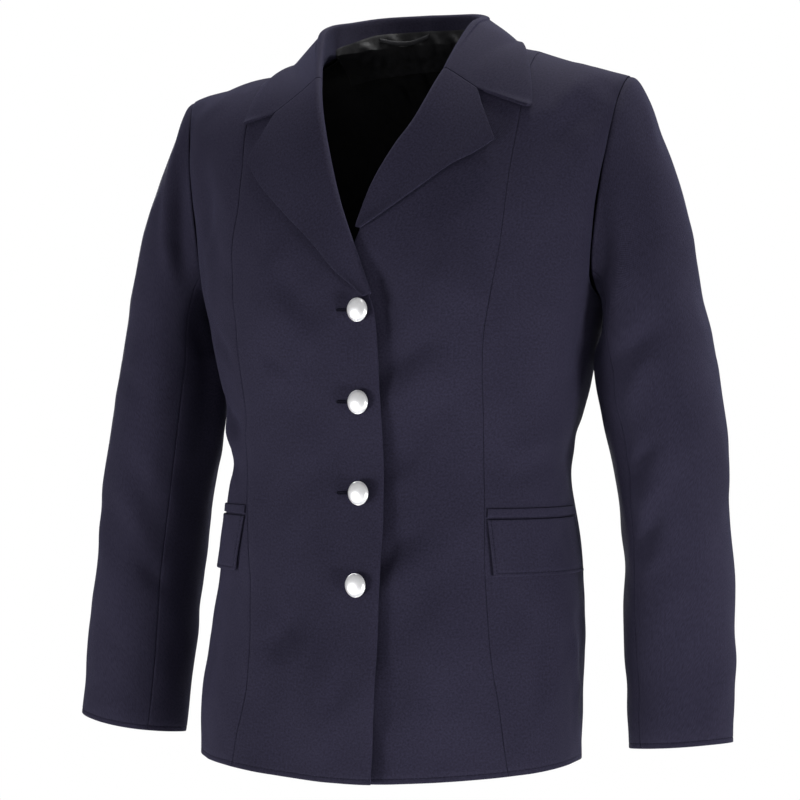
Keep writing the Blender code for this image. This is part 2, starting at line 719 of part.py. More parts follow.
def collar_half(side):
    """Mid-surface rows of the collar on one side, drawn on the left, from centre back to the gorge."""
    shares = np.linspace(0, 1, COLLAR_COLUMNS + 1)
    neck_x, neck_z = (column(COLLAR, "share", shares, key) for key in ("neck_x", "neck_z"))
    word = "left" if side > 0 else "right"
    fold, edge = (
        np.stack([column(rows, "share", shares, name) for name in names], axis=-1)
        for rows, names in (
            (COLLAR, (f"{word}_x", "fold_y", f"{word}_z")),
            (COLLAR_EDGE, (f"{word}_x", "y", "z")),
        )
    )
    behind = shares < SHOULDER_SHARE
    turn_back, height_back = body_place(neck_x, neck_z, front=False)
    turn_front, height_front = body_place(neck_x, neck_z, front=True)
    turn = np.where(behind, turn_back, turn_front)
    height = np.where(behind, height_back, height_front)
    neck = body_point(turn, height, bust=False)
    normal = body_normal(turn, height)
    run = unit(np.gradient(neck, axis=0))
    away = unit(np.cross(run, normal))
    away = away * np.sign(np.sum(away * (neck - fold.mean(axis=0)), axis=-1))[:, None]
    bottom = neck - away * STAND_CLEAR - normal * STAND_INSIDE
    low = bottom + away * STAND_FOOT
    point = LEFT_COLLAR_POINT if side > 0 else RIGHT_COLLAR_POINT
    roll, toward, radius, leaf_spots = gorge_leaf(side, point)
    inward = RIGHT_LAPEL[-1][6]
    spots, offset = roll_section(roll, toward, radius, inward)
    share = np.arange(1, LEAF_STEPS + 1) / LEAF_STEPS
    spots = np.concatenate([spots, leaf_spots])
    offset = np.concatenate([offset, leaf_offset(radius, share)])
    end_row = over_body(side, spots[:, 0], spots[:, 1], offset)
    fold_run = unit(np.gradient(fold, axis=0))
    rows = []
    for k, s in enumerate(shares):
        down = unit(bottom[k] - fold[k])
        out = np.cross(down, fold_run[k])
        out = unit(out * np.sign(np.dot(out, edge[k] - bottom[k])))
        centre = fold[k] + down * COLLAR_FOLD_RADIUS
        bend = np.radians(np.linspace(-90, 90, 5))[:, None]
        round_fold = centre + COLLAR_FOLD_RADIUS * (out * np.sin(bend) - down * np.cos(bend))
        stand = np.array((low[k], bottom[k], (bottom[k] + round_fold[0]) / 2))
        leaf = round_fold[-1] + (edge[k] - round_fold[-1]) * share[:, None]
        hollow = np.sin(pi * share)[:, None] * LEAF_HOLLOW
        row = np.concatenate([stand, round_fold, leaf + out * hollow])
        blend = fade(s, GORGE_START, 1)
        row = row + (end_row - row) * blend
        if blend < 1:
            clear = LEAF_CLEAR + LEAF_EXTRA * (1 - blend)
            row[-LEAF_STEPS:] = kept_off(row[-LEAF_STEPS:], clear)
        rows.append(row)
    rows = np.array(rows)
    across, end_normal = gorge_frame(rows[-1])
    rows[-1] += across * GORGE_GAP
    return rows, end_normal


def collar(name, material, parent):
    left, left_end = collar_half(1)
    right, right_end = collar_half(-1)
    middle = np.concatenate([flipped(right[:0:-1]), left])
    normal = -grid_normals(middle)
    normal[-1] = left_end
    normal[0] = flipped(right_end)
    cloth_wall(name, 1, middle, normal, material, parent)


# Sleeves


def armhole_ring(round_turn):
    """Points of the armhole by the turn round the sleeve: 0 at the shoulder, 90 at the front."""
    heights = np.linspace(ROW_HEIGHTS[-1], ARMHOLE[1][0], 400)
    halves = []
    for front in (True, False):
        line = body_point(armhole_turn(front)(heights), heights)
        length = np.concatenate([[0], np.cumsum(np.linalg.norm(np.diff(line, axis=0), axis=1))])
        halves.append((line, length / length[-1]))
    spin = np.asarray(round_turn, float) % 360
    share = np.where(spin <= 180, spin, 360 - spin) / 180
    found = []
    for line, length in halves:
        found.append(np.stack([np.interp(share, length, line[:, k]) for k in range(3)], axis=-1))
    return np.where((spin <= 180)[..., None], found[0], found[1])


def sleeve_ring(round_turn, z):
    """Points of the sleeve's ring centred at this height, square to its axis."""
    spin = np.radians(round_turn)
    centre = np.stack([column(SLEEVE, "z", z, "x"), column(SLEEVE, "z", z, "y"), z + 0 * spin], -1)
    step = 0.004
    rise = np.stack(
        [
            column(SLEEVE, "z", z + step, "x") - column(SLEEVE, "z", z - step, "x"),
            column(SLEEVE, "z", z + step, "y") - column(SLEEVE, "z", z - step, "y"),
            np.full(np.shape(z), 2 * step),
        ],
        -1,
    )
    down = -unit(rise)
    across = unit(np.array((1.0, 0, 0)) - down * down[..., :1])
    ahead = np.cross(across, down)
    ahead = ahead * -np.sign(ahead[..., 1:2])
    half = column(SLEEVE, "z", z, "half_across")[..., None]
    deep = column(SLEEVE, "z", z, "half_deep")[..., None]
    out = across * half * np.cos(spin)[..., None] + ahead * deep * np.sin(spin)[..., None]
    return centre + out, down


def hung(points, side):
    """Points of the left sleeve as one side's sleeve hangs, its inner side kept in place."""
    word = "left" if side > 0 else "right"
    x, z = points[..., 0], points[..., 2]
    from_middle = (x - column(SLEEVE, "z", z, "x")) / column(SLEEVE, "z", z, "half_across")
    outer = np.clip((1 + from_middle) / 2, 0, 1)
    out, down, up = (
        column(SLEEVE_HANG, "z", z, f"{word}_{way}") for way in ("out", "down", "up")
    )
    return np.stack([x + out * outer, points[..., 1], z - down + up * outer**2], axis=-1)


def sleeve_point(round_turn, way, side):
    """Outer face of a sleeve on the left: way 0 to 1 is the cap, 1 to 2 the arm to the cuff."""
    round_turn, way = np.broadcast_arrays(np.asarray(round_turn, float), np.asarray(way, float))
    top, cuff = SLEEVE[1][0], SLEEVE[-1][0]
    z = np.where(way < 1, top, top + (cuff - top) * (way - 1))
    arm, down = sleeve_ring(round_turn, z)
    ring = armhole_ring(round_turn)
    spin = np.radians(round_turn)
    high = (1 + np.cos(spin)) / 2
    rise = CAP_RISE_FOOT + (CAP_RISE_TOP - CAP_RISE_FOOT) * high
    leave = unit(np.stack([np.ones_like(spin), np.zeros_like(spin), rise], -1))
    reach = np.linalg.norm(arm - ring, axis=-1)
    pull = (CAP_PULL_FOOT + (CAP_PULL_TOP - CAP_PULL_FOOT) * high) * reach
    t = np.clip(way, 0, 1)[..., None]
    cap = (
        (2 * t**3 - 3 * t**2 + 1) * (ring + leave * SEAM_GAP * 2)
        + (t**3 - 2 * t**2 + t) * leave * pull[..., None]
        + (3 * t**2 - 2 * t**3) * arm
        + (t**3 - t**2) * down * (reach * CAP_PULL_ARM)[..., None]
    )
    return hung(np.where(way[..., None] < 1, cap, arm), side)


def sleeve_wall(name, side, spins, material, parent):
    ways = np.concatenate([CAP_WAYS, 1 + np.linspace(0, 1, ARM_ROWS + 1)])
    spin, way = np.meshgrid(spins, ways)
    turned, moved = 0.5, 0.002
    around = sleeve_point(spin + turned, way, side) - sleeve_point(spin - turned, way, side)
    degree = 2 * turned / np.maximum(np.linalg.norm(around, axis=-1), 1e-6)
    spin[:, 0] += SLEEVE_GAP / 2 * degree[:, 0]
    spin[:, -1] -= SLEEVE_GAP / 2 * degree[:, -1]
    face = sleeve_point(spin, way, side)
    around = sleeve_point(spin + turned, way, side) - sleeve_point(spin - turned, way, side)
    ahead, behind = np.minimum(way + moved, 2), np.maximum(way - moved, 0)
    along = sleeve_point(spin, ahead, side) - sleeve_point(spin, behind, side)
    normal = unit(np.cross(around, along))
    inner = face - normal * CLOTH
    wall(name, on_side(face, side), on_side(inner, side), material, parent)


# Pockets, buttons and the loop


def pocket_grid(side, top_z, tall, slant, columns, rows):
    seam = "left_x" if side > 0 else "right_x"
    down = np.linspace(0, 1, rows + 1)[:, None]
    share = np.linspace(0, 1, columns + 1)[None, :]
    z = top_z - tall * down
    seam_x = column(PRINCESS, "z", FLAP_TOP_Z, seam)
    start, _ = body_place(seam_x + FLAP_FROM_SEAM + slant * down, z)
    turn = start + (radians(FLAP_END_TURN) + FLAP_END_LEAN * down - start) * share
    return turn, z + 0 * turn


def pocket_piece(name, side, grid, thick, material, parent, foot=0.0):
    """A piece laid on the side front, which stands off it a little more at its foot."""
    turn, height = grid
    face = body_point(turn, height)
    normal = body_normal(turn, height)
    rows = face.shape[0]
    stand = LAY_GAP + foot * (np.arange(rows) / (rows - 1))[:, None, None] ** 2
    inner = face + normal * stand
    outer = inner + normal * thick
    wall(name, on_body(outer, side), on_body(inner, side), material, parent)


def button_frame(z):
    """Centre of the button's back and its axis, on the wearer's right front at centre front."""
    turn, height = body_place(BUTTON_X, z)
    lift = float(front_lift(-1, -BUTTON_X, z))
    face = body_point(turn, height) + body_normal(turn, height) * lift
    tilt = radians(BUTTON_TILT)
    axis = np.array((-sin(tilt), -cos(tilt), 0.0))
    return face + axis * BUTTON_STAND, axis


def button(name, z, material, parent):
    """A domed shank button: a turned profile about its own Z axis, with its shank behind."""
    rim, radius = BUTTON_RIM, BUTTON_RADIUS
    foot = SHANK_GAP - BUTTON_STAND
    profile = [(0.0, rim + BUTTON_DOME)]
    for k in range(1, 6):
        bend = radians(90 * k / 5)
        profile.append((radius * sin(bend) * DOME_WIDE, rim + BUTTON_DOME * cos(bend)))
    profile += [(radius, rim * RIM_SQUARE), (radius * BACK_WIDE, 0.0)]
    profile += [(SHANK_RADIUS, -BACK_SINK), (SHANK_RADIUS, foot), (0.0, foot)]
    mesh = bpy.data.meshes.new(name)
    points = [(x, 0.0, z_own) for x, z_own in profile]
    mesh.from_pydata(points, [(k, k + 1) for k in range(len(points) - 1)], [])
    mesh.materials.append(material)
    obj = bpy.data.objects.new(name, mesh)
    COLLECTION.objects.link(obj)
    turned = obj.modifiers.new("turned", "SCREW")
    turned.axis = "Z"
    turned.steps = 16
    turned.render_steps = 16
    turned.use_merge_vertices = True
    turned.merge_threshold = 0.00001
    turned.use_smooth_shade = True
    centre, axis = button_frame(z)
    obj.location = centre
    obj.rotation_euler = (pi / 2, 0.0, np.arctan2(axis[0], -axis[1]))
    obj.parent = parent
    return obj


def hanger_loop(name, material, parent):
    """A narrow band held at both ends on the collar's stand, hanging in a shallow bow."""
    rows, _ = collar_half(-1)
    rise = rows[:, 2] - rows[:, 1]
    seat_line = rows[:, 1] + rise * LOOP_UP
    t = np.linspace(-1, 1, LOOP_STEPS + 1)
    x = LOOP_X + LOOP_HALF * t
    seat, up = (
        np.stack([np.interp(x, seat_line[:, 0], line[:, k]) for k in range(3)], axis=-1)
        for line in (seat_line, unit(rise))
    )
    inward = unit(np.cross(np.gradient(seat, axis=0), up))
    slack = (1 - t**2)[:, None]
    path = seat + inward * (CLOTH / 2 + LOOP_GAP + LOOP_BOW * slack) - up * LOOP_DROP * slack
    tall = np.array((-0.5, 0.5))[:, None, None] * LOOP_WIDTH
    outer = path[None] + up[None] * tall
    inner = outer + inward * LOOP_CLOTH
    wall(name, on_side(outer, -1), on_side(inner, -1), material, parent)


def surface(name, colour, roughness, metallic=0.0):
    material = bpy.data.materials.new(name)
    material.use_nodes = True
    shader = material.node_tree.nodes["Principled BSDF"]
    shader.inputs["Base Color"].default_value = (*colour, 1.0)
    shader.inputs["Roughness"].default_value = roughness
    shader.inputs["Metallic"].default_value = metallic
    return material


def build():
    navy = surface("navy_twill", (0.020, 0.019, 0.043), 0.85)
    satin = surface("black_satin", (0.006, 0.006, 0.008), 0.45)
    silver = surface("silvered_metal", (0.86, 0.86, 0.88), 0.25, 1.0)
    root = bpy.data.objects.new("jacket", None)
    COLLECTION.objects.link(root)
    behind = np.linspace(SLEEVE_SEAM_BACK - 360, 0, UPPER_BACK_STEPS + 1)
    before = np.linspace(0, SLEEVE_SEAM_FRONT, UPPER_FRONT_STEPS + 1)
    upper = np.concatenate([behind, before[1:]])
    under = np.linspace(SLEEVE_SEAM_FRONT, SLEEVE_SEAM_BACK, UNDER_STEPS + 1)
    for side, word in ((1, "left"), (-1, "right")):
        front_panel(f"front_{word}", side, navy, root)
        side_front_panel(f"side_front_{word}", side, navy, root)
        back_panel(f"back_{word}", side, navy, root)
        lapel(f"lapel_{word}", side, navy, root)
        sleeve_wall(f"sleeve_upper_{word}", side, upper, navy, root)
        sleeve_wall(f"sleeve_under_{word}", side, under, navy, root)
        flap = pocket_grid(side, FLAP_TOP_Z, FLAP_HEIGHT, FLAP_SLANT, 9, 5)
        pocket_piece(f"pocket_flap_{word}", side, flap, CLOTH, navy, root, FLAP_STAND)
        welt = pocket_grid(side, WELT_TOP_Z, WELT_HEIGHT, 0.0, 9, 2)
        pocket_piece(f"pocket_welt_{word}", side, welt, WELT_CLOTH, navy, root)
    collar("collar", navy, root)
    back_lining("back_lining", satin, root)
    hanger_loop("hanger_loop", satin, root)
    for number, z in enumerate(BUTTON_Z, start=1):
        button(f"button_{number}", z, silver, root)


for old in list(bpy.data.objects):
    bpy.data.objects.remove(old, do_unlink=True)
COLLECTION = bpy.data.collections.new("dress_uniform_jacket")
bpy.context.scene.collection.children.link(COLLECTION)
build()
bpy.context.view_layer.update()
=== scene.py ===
"""Looks of a woman's single-breasted dress uniform jacket, filled out as if worn and hollow.

Metres, +Z up, the front faces -Y and the wearer's left is +X. The form is the same as the
solids', on finer grids, with the creases, sewing, buttonholes and materials added.
"""

from math import cos, pi, radians, sin

import bpy
import numpy as np
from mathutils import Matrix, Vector


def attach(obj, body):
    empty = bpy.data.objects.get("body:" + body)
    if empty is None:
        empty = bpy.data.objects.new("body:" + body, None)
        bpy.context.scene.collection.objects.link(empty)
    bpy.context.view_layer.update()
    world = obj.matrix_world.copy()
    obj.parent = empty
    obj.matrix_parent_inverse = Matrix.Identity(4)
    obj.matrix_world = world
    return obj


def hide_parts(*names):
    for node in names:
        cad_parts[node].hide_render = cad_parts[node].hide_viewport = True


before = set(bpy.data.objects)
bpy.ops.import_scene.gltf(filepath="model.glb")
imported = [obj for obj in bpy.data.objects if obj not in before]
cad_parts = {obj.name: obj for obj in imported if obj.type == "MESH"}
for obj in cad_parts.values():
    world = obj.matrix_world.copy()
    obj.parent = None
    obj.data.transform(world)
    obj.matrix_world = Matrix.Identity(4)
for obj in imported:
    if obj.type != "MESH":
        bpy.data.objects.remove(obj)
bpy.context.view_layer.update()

# Cloth and seams
CLOTH = 0.0018
LINING = 0.0010
GORGE_GAP = 0.00024
LAY_GAP = 0.0007

# Lengths down from the shoulder
HEM_Z = -0.6520
HEM_SIDE_RISE = 0.0110
HEM_STILL_Z = -0.5600
CHEST_Z = -0.2150
ARCH_RISE = 0.2150

# Buttons down the centre front
BUTTON_Z = (-0.2410, -0.3210, -0.4010, -0.4810)
BUTTON_X = 0.0040
BUTTON_RADIUS = 0.0105
BUTTON_DOME = 0.0048
BUTTON_RIM = 0.0013
BUTTON_STAND = 0.0034
BUTTON_TILT = 14.0
SHANK_RADIUS, SHANK_GAP = 0.0018, 0.0006

# How far the right front stands off the left one, over the overlap and at its very edge
OVERLAP_LIFT, OVERLAP_START_X, OVERLAP_FULL_X = 0.0046, 0.0580, 0.0180
EDGE_LIFT, EDGE_START_X, EDGE_FULL_X = 0.0032, 0.0140, -0.0200
LIFT_START_Z, LIFT_FULL_Z = -0.0850, -0.1650

# Bust
BUST_X, BUST_Z = 0.088, -0.245
BUST_OUT, BUST_WIDE, BUST_TALL = 0.012, 0.055, 0.070

# Body rings below the chest line: half width, and the side, front and back depths
BODY = (
    ("z", "half_width", "side_y", "front_y", "back_y"),
    (-0.665, 0.1750, -0.030, -0.150, 0.084),
    (-0.560, 0.1742, -0.026, -0.142, 0.088),
    (-0.480, 0.1682, -0.021, -0.133, 0.086),
    (-0.385, 0.1582, -0.014, -0.125, 0.078),
    (-0.335, 0.1640, -0.009, -0.126, 0.0835),
    (-0.285, 0.1755, -0.005, -0.127, 0.0915),
    (-0.235, 0.1875, 0.000, -0.126, 0.0985),
    (-0.215, 0.1915, 0.001, -0.125, 0.1003),
)

# Body rings above it, by their share of the height up to the shoulder seam
YOKE = (
    ("share", "half_width", "side_y", "front_y", "back_y"),
    (0.00, 0.1915, 0.001, -0.125, 0.1003),
    (0.30, 0.2030, 0.002, -0.122, 0.1050),
    (0.65, 0.2150, 0.002, -0.118, 0.1000),
    (1.00, 0.2260, 0.002, -0.114, 0.094),
)

# Height of the shoulder seam, carried on over the neck opening
SHOULDER = (
    ("x", "z"),
    (-0.040, 0.034),
    (0.000, 0.056),
    (0.040, 0.034),
    (0.073, 0.0045),
    (0.110, -0.0055),
    (0.160, -0.0195),
    (0.205, -0.0330),
    (0.230, -0.0410),
)

# The left shoulder is a little higher, most of all beside the collar
SHOULDER_TILT = 0.017
NECK_TILT, NECK_TILT_X, NECK_TILT_WIDE, NECK_TILT_Z = 0.0043, 0.105, 0.040, -0.060

# The hem hangs a little to the wearer's right
HEM_HANG, HANG_START_Z, HANG_HALF = 0.0080, -0.4900, 0.1750

# How square the rings and the arch over the shoulders are
FRONT_SQUARE, BACK_SQUARE = 2.5, 2.35
FRONT_ARCH, BACK_ARCH = 2.15, 2.5

# Seam from the middle of the shoulder over the bust to the hem, on either side
PRINCESS = (
    ("z", "left_x", "right_x"),
    (-0.665, 0.1388, 0.1174),
    (-0.645, 0.1357, 0.1144),
    (-0.586, 0.1280, 0.1061),
    (-0.538, 0.1188, 0.1039),
    (-0.487, 0.1130, 0.1070),
    (-0.420, 0.1090, 0.1150),
    (-0.373, 0.1080, 0.1200),
    (-0.330, 0.1085, 0.1185),
    (-0.271, 0.1115, 0.1210),
    (-0.229, 0.1174, 0.1265),
    (-0.183, 0.1234, 0.1290),
    (-0.134, 0.1266, 0.1260),
    (-0.070, 0.1309, 0.1290),
    (-0.0105, 0.1300, 0.1300),
)

# Points read along a seam, closer towards the shoulder
SEAM_SAMPLES, SEAM_CROWDING = 400, 1.6

# Armhole, by height coordinate: degrees round the body from centre front
ARMHOLE = (
    ("height", "front_turn", "back_turn"),
    (-0.2370, 97.0, 97.0),
    (-0.2345, 90.5, 99.5),
    (-0.2300, 85.5, 101.6),
    (-0.2230, 81.0, 103.4),
    (-0.2130, 77.8, 104.9),
    (-0.2000, 75.8, 106.0),
    (-0.1600, 74.2, 106.8),
    (-0.1000, 74.0, 106.2),
    (-0.0200, 74.4, 104.6),
    (0.0600, 74.9, 102.6),
    (0.1227, 75.0, 101.2),
)
ROW_HEIGHTS = (
    -0.6650, -0.6350, -0.6000, -0.5600, -0.5200, -0.4800, -0.4400, -0.4050, -0.3750, -0.3450,
    -0.3150, -0.2870, -0.2610, -0.2370, -0.2345, -0.2300, -0.2230, -0.2130, -0.2000, -0.1820,
    -0.1600, -0.1350, -0.1080, -0.0800, -0.0520, -0.0240, 0.0040, 0.0320, 0.0600, 0.0850,
    0.1060, 0.1227,
)

# How far the top row stays below the shoulder seam, in seam gaps, and the least climb there
SHOULDER_SLACK, LEAST_CLIMB = 2.0, 0.3

# Free edge of each front up to the gorge, then the neckline.
# x is positive on the front's own side and negative past the centre.
FRONT_EDGE = (
    ("z", "left_x", "right_x"),
    (-0.665, -0.0200, -0.0222),
    (-0.300, -0.0200, -0.0222),
    (-0.242, -0.0200, -0.0170),
    (-0.229, -0.0200, -0.0122),
    (-0.214, -0.0195, -0.0055),
    (-0.203, -0.0160, -0.0008),
    (-0.190, -0.0090, 0.0058),
    (-0.178, -0.0045, 0.0109),
    (-0.166, 0.0003, 0.0163),
    (-0.128, 0.0142, 0.0307),
    (-0.088, 0.0375, 0.0443),
    (-0.0575, 0.0539, 0.0535),
    (-0.0275, 0.0637, 0.0637),
    (-0.010, 0.0700, 0.0700),
    (0.0040, 0.0755, 0.0755),
)

# Lapels: roll line and outer edge by share of the height from the break to the gorge
RIGHT_LAPEL = (
    ("share", "roll_x", "roll_z", "edge_x", "edge_z", "radius", "return"),
    (0.00, -0.0140, -0.2270, -0.0090, -0.2300, 0.0022, 0.0010),
    (0.15, -0.0027, -0.2010, 0.0190, -0.2080, 0.0022, 0.0010),
    (0.35, 0.0118, -0.1662, 0.0432, -0.1820, 0.0027, 0.0060),
    (0.60, 0.0290, -0.1200, 0.0790, -0.1487, 0.0033, 0.0110),
    (0.80, 0.0452, -0.0720, 0.1005, -0.1275, 0.0033, 0.0110),
    (1.00, 0.0592, -0.0275, 0.1175, -0.1050, 0.0033, 0.0110),
)
LEFT_LAPEL = (
    ("share", "roll_x", "roll_z", "edge_x", "edge_z", "radius", "return"),
    (0.00, -0.0050, -0.1675, 0.0010, -0.1690, 0.0022, 0.0040),
    (0.15, 0.0000, -0.1530, 0.0194, -0.1579, 0.0026, 0.0080),
    (0.35, 0.0092, -0.1285, 0.0480, -0.1385, 0.0031, 0.0110),
    (0.60, 0.0265, -0.0965, 0.0780, -0.1165, 0.0033, 0.0110),
    (0.80, 0.0430, -0.0700, 0.0985, -0.1060, 0.0033, 0.0110),
    (1.00, 0.0592, -0.0275, 0.1135, -0.0950, 0.0033, 0.0110),
)
LEFT_NOTCH, RIGHT_NOTCH = (0.0915, -0.0480), (0.0985, -0.0600)
LEFT_COLLAR_POINT, RIGHT_COLLAR_POINT = (0.1405, -0.0675), (0.1305, -0.0700)
LEAF_CLEAR, LEAF_FALL = 0.0019, 1.6

# Collar from centre back (0) to the gorge (1): neckline on the body, and its fold line
COLLAR = (
    ("share", "neck_x", "neck_z", "left_x", "right_x", "fold_y", "left_z", "right_z"),
    (0.00, 0.0000, 0.0130, 0.0000, 0.0000, 0.0710, 0.0430, 0.0430),
    (0.25, 0.0450, 0.0105, 0.0465, 0.0480, 0.0560, 0.0385, 0.0415),
    (0.45, 0.0680, 0.0065, 0.0655, 0.0700, 0.0300, 0.0312, 0.0365),
    (0.60, 0.0755, 0.0040, 0.0705, 0.0785, 0.0050, 0.0260, 0.0320),
    (0.75, 0.0737, -0.0010, 0.0700, 0.0775, -0.0220, 0.0180, 0.0215),
    (0.90, 0.0690, -0.0130, 0.0650, 0.0685, -0.0500, -0.0020, -0.0010),
    (1.00, 0.0637, -0.0275, 0.0592, 0.0592, -0.0720, -0.0275, -0.0275),
)
SHOULDER_SHARE = 0.60

# Outer edge of the collar at the same shares
COLLAR_EDGE = (
    ("share", "left_x", "right_x", "y", "z"),
    (0.00, 0.0000, 0.0000, 0.0785, -0.0030),
    (0.25, 0.0530, 0.0530, 0.0600, -0.0060),
    (0.45, 0.0900, 0.0860, 0.0360, -0.0060),
    (0.60, 0.1080, 0.1000, 0.0010, -0.0050),
    (0.75, 0.1205, 0.1125, -0.0240, -0.0150),
    (0.90, 0.1350, 0.1250, -0.0500, -0.0420),
    (1.00, 0.1405, 0.1305, -0.0720, -0.0685),
)
COLLAR_FOLD_RADIUS = 0.0035
STAND_INSIDE, STAND_CLEAR, STAND_FOOT = 0.0030, 0.0028, 0.0016
LEAF_HOLLOW, LEAF_EXTRA = 0.0025, 0.0012
GORGE_START = 0.72

# Sleeve axis below the armhole: centre, half width across and half depth front to back
SLEEVE = (
    ("z", "x", "y", "half_across", "half_deep"),
    (-0.285, 0.2360, 0.0050, 0.0510, 0.0620),
    (-0.355, 0.2460, 0.0040, 0.0515, 0.0590),
    (-0.395, 0.2505, 0.0035, 0.0500, 0.0560),
    (-0.456, 0.2561, -0.0010, 0.0490, 0.0530),
    (-0.500, 0.2584, -0.0080, 0.0490, 0.0505),
    (-0.553, 0.2611, -0.0143, 0.0493, 0.0468),
    (-0.590, 0.2632, -0.0195, 0.0485, 0.0440),
    (-0.620, 0.2655, -0.0246, 0.0480, 0.0410),
)

# How far each sleeve's outer side lies out from that, how much longer the sleeve hangs and
# how far its outer side is drawn up again
SLEEVE_HANG = (
    ("z", "left_out", "right_out", "left_down", "right_down", "left_up", "right_up"),
    (-0.620, -0.0035, 0.0045, 0.0045, 0.0090, 0.0050, 0.0110),
    (-0.500, -0.0018, 0.0048, 0.0025, 0.0050, 0.0025, 0.0045),
    (-0.400, -0.0022, 0.0040, 0.0010, 0.0018, 0.0005, 0.0012),
    (-0.345, -0.0008, 0.0010, 0.0002, 0.0004, 0.0000, 0.0000),
    (-0.300, -0.0010, -0.0010, 0.0000, 0.0000, 0.0000, 0.0000),
    (-0.235, -0.0045, -0.0015, 0.0000, 0.0000, 0.0000, 0.0000),
    (-0.185, -0.0008, -0.0018, 0.0000, 0.0000, 0.0000, 0.0000),
    (-0.140, 0.0000, -0.0016, 0.0000, 0.0000, 0.0000, 0.0000),
    (-0.090, 0.0000, 0.0000, 0.0000, 0.0000, 0.0000, 0.0000),
)
SLEEVE_SEAM_FRONT, SLEEVE_SEAM_BACK = 128.0, 236.0
CAP_WAYS = (0.0, 0.05, 0.12, 0.20, 0.29, 0.39, 0.50, 0.61, 0.72, 0.83, 0.92)

# How steeply the cap leaves the armhole and how far it keeps that way, at its top and its foot
CAP_RISE_TOP, CAP_RISE_FOOT = 0.24, -0.42
CAP_PULL_TOP, CAP_PULL_FOOT, CAP_PULL_ARM = 0.20, 0.52, 0.98

# Pocket flap and welt, on the side front under the waist
FLAP_TOP_Z, FLAP_HEIGHT = -0.4235, 0.0490
FLAP_SLANT, FLAP_FROM_SEAM = 0.0070, 0.0022
FLAP_END_TURN, FLAP_END_LEAN, FLAP_STAND = 92.0, 0.020, 0.0012
WELT_TOP_Z, WELT_HEIGHT, WELT_CLOTH = -0.4140, 0.0075, 0.0012

# Lining of the back
LINING_DEPTH = 0.0037
LINING_SHARE = 0.84
LINING_HEM, LINING_TOP, LINING_CLEAR = 0.0270, 0.0060, 0.0020

# Hanger loop on the collar's stand, its ends this share of the way up from the neck seam
LOOP_X, LOOP_HALF, LOOP_SEAT = 0.0235, 0.0220, 0.325
LOOP_DROP, LOOP_BOW, LOOP_WIDTH, LOOP_CLOTH, LOOP_GAP = 0.0065, 0.0030, 0.0045, 0.0010, 0.0004
LOOP_CROWN, LOOP_COLUMNS, LOOP_ROWS = 0.0002, 45, 7

# Facing of satin in the neck: up the stand, along it and down inside the back
FACING_SHARE, FACING_UP, FACING_FALL, FACING_LEAST = 0.60, 0.52, 0.25, 0.24
FACING_CLOTH, FACING_OFF, FACING_LINING = 0.00024, 0.00008, 0.0012
FACING_DROP_START, FACING_DROP, FACING_MIDDLE = 0.0060, 0.0200, (0.0, -0.02, 0.02)
FACING_LOOSE, FACING_ROWS, DROP_ROWS = 1.5, 16, 22

# Grids, finer than the solids' own: largest step up the body and down the cap, then counts
GRID, CAP_GRID = 0.0042, 0.016
LAPEL_ROWS, COLLAR_COLUMNS, TIP_ROWS = 60, 64, 8
FRONT_COLUMNS, SIDE_COLUMNS, BACK_COLUMNS = 40, 36, 60
ARM_ROWS, UPPER_COLUMNS, UNDER_COLUMNS, RING_SAMPLES, NECK_SAMPLES = 68, 73, 32, 600, 60
FLAP_COLUMNS, FLAP_ROWS, WELT_ROWS = 44, 16, 6

# A row across a lapel or the collar: return on the inside, bend over the roll line, then leaf
BEND_STEPS, RETURN_STEPS, RETURN_END, LEAF_STEPS = 12, 8, 0.1, 24
BEND = np.radians(np.linspace(-90, 90, BEND_STEPS + 1))
LEAF = np.arange(1, LEAF_STEPS + 1) / LEAF_STEPS

# Where the side columns leave the underarm's curve, and how suddenly
UNDERARM_START, UNDERARM_END, UNDERARM_POWER = -0.3400, -0.1900, 6

# Rounding of the collar's points and of the lapels' tips, and how far a leaf's edge stands off
LEFT_TIP_ROUND, RIGHT_TIP_ROUND, LAPEL_TIP_ROUND = 0.0060, 0.0030, 0.0016
LEAF_LIFT, STAND_SMOOTHING = 0.0034, 14

# What is left of the seams' gaps, the twill turned up inside the hem and the smallest cut side
SEAM_CLOSE, TURN_UP, SMALLEST_CUT = 0.00006, 0.0350, 0.0102

# Half-round edge of the cloth: how far in by half its thickness, how thick there by the whole,
# and the least room to the next row. A sewn groove: how far across by its width, and how deep.
EDGE_IN, EDGE_THICK, EDGE_CLEAR = (0.0, 0.15, 0.5, 1.0), (0.12, 0.53, 0.87, 1.0), 0.0008
GROOVE_ACROSS, GROOVE_SINK = (-1.6, -0.8, 0.0, 0.8, 1.6), (0.0, 0.6, 1.0, 0.6, 0.0)

# Small steps for slopes: along the body, down the sleeve's axis, round it in degrees, and in way
STEP, AXIS_STEP, SPIN_STEP, WAY_STEP = 1e-4, 0.004, 0.5, 0.002
LEAST_GAP, LEAST_CHORD = 1e-9, 1e-6

# Points pushed off the body: how high they may lie by the shoulder's share, how flat a ring may
# get beside them, and the number and the largest of the pushes
PAST_SEAM, LEAST_FLAT, PUSHES, LARGEST_PUSH = 1.3, 0.001, 4, 0.02

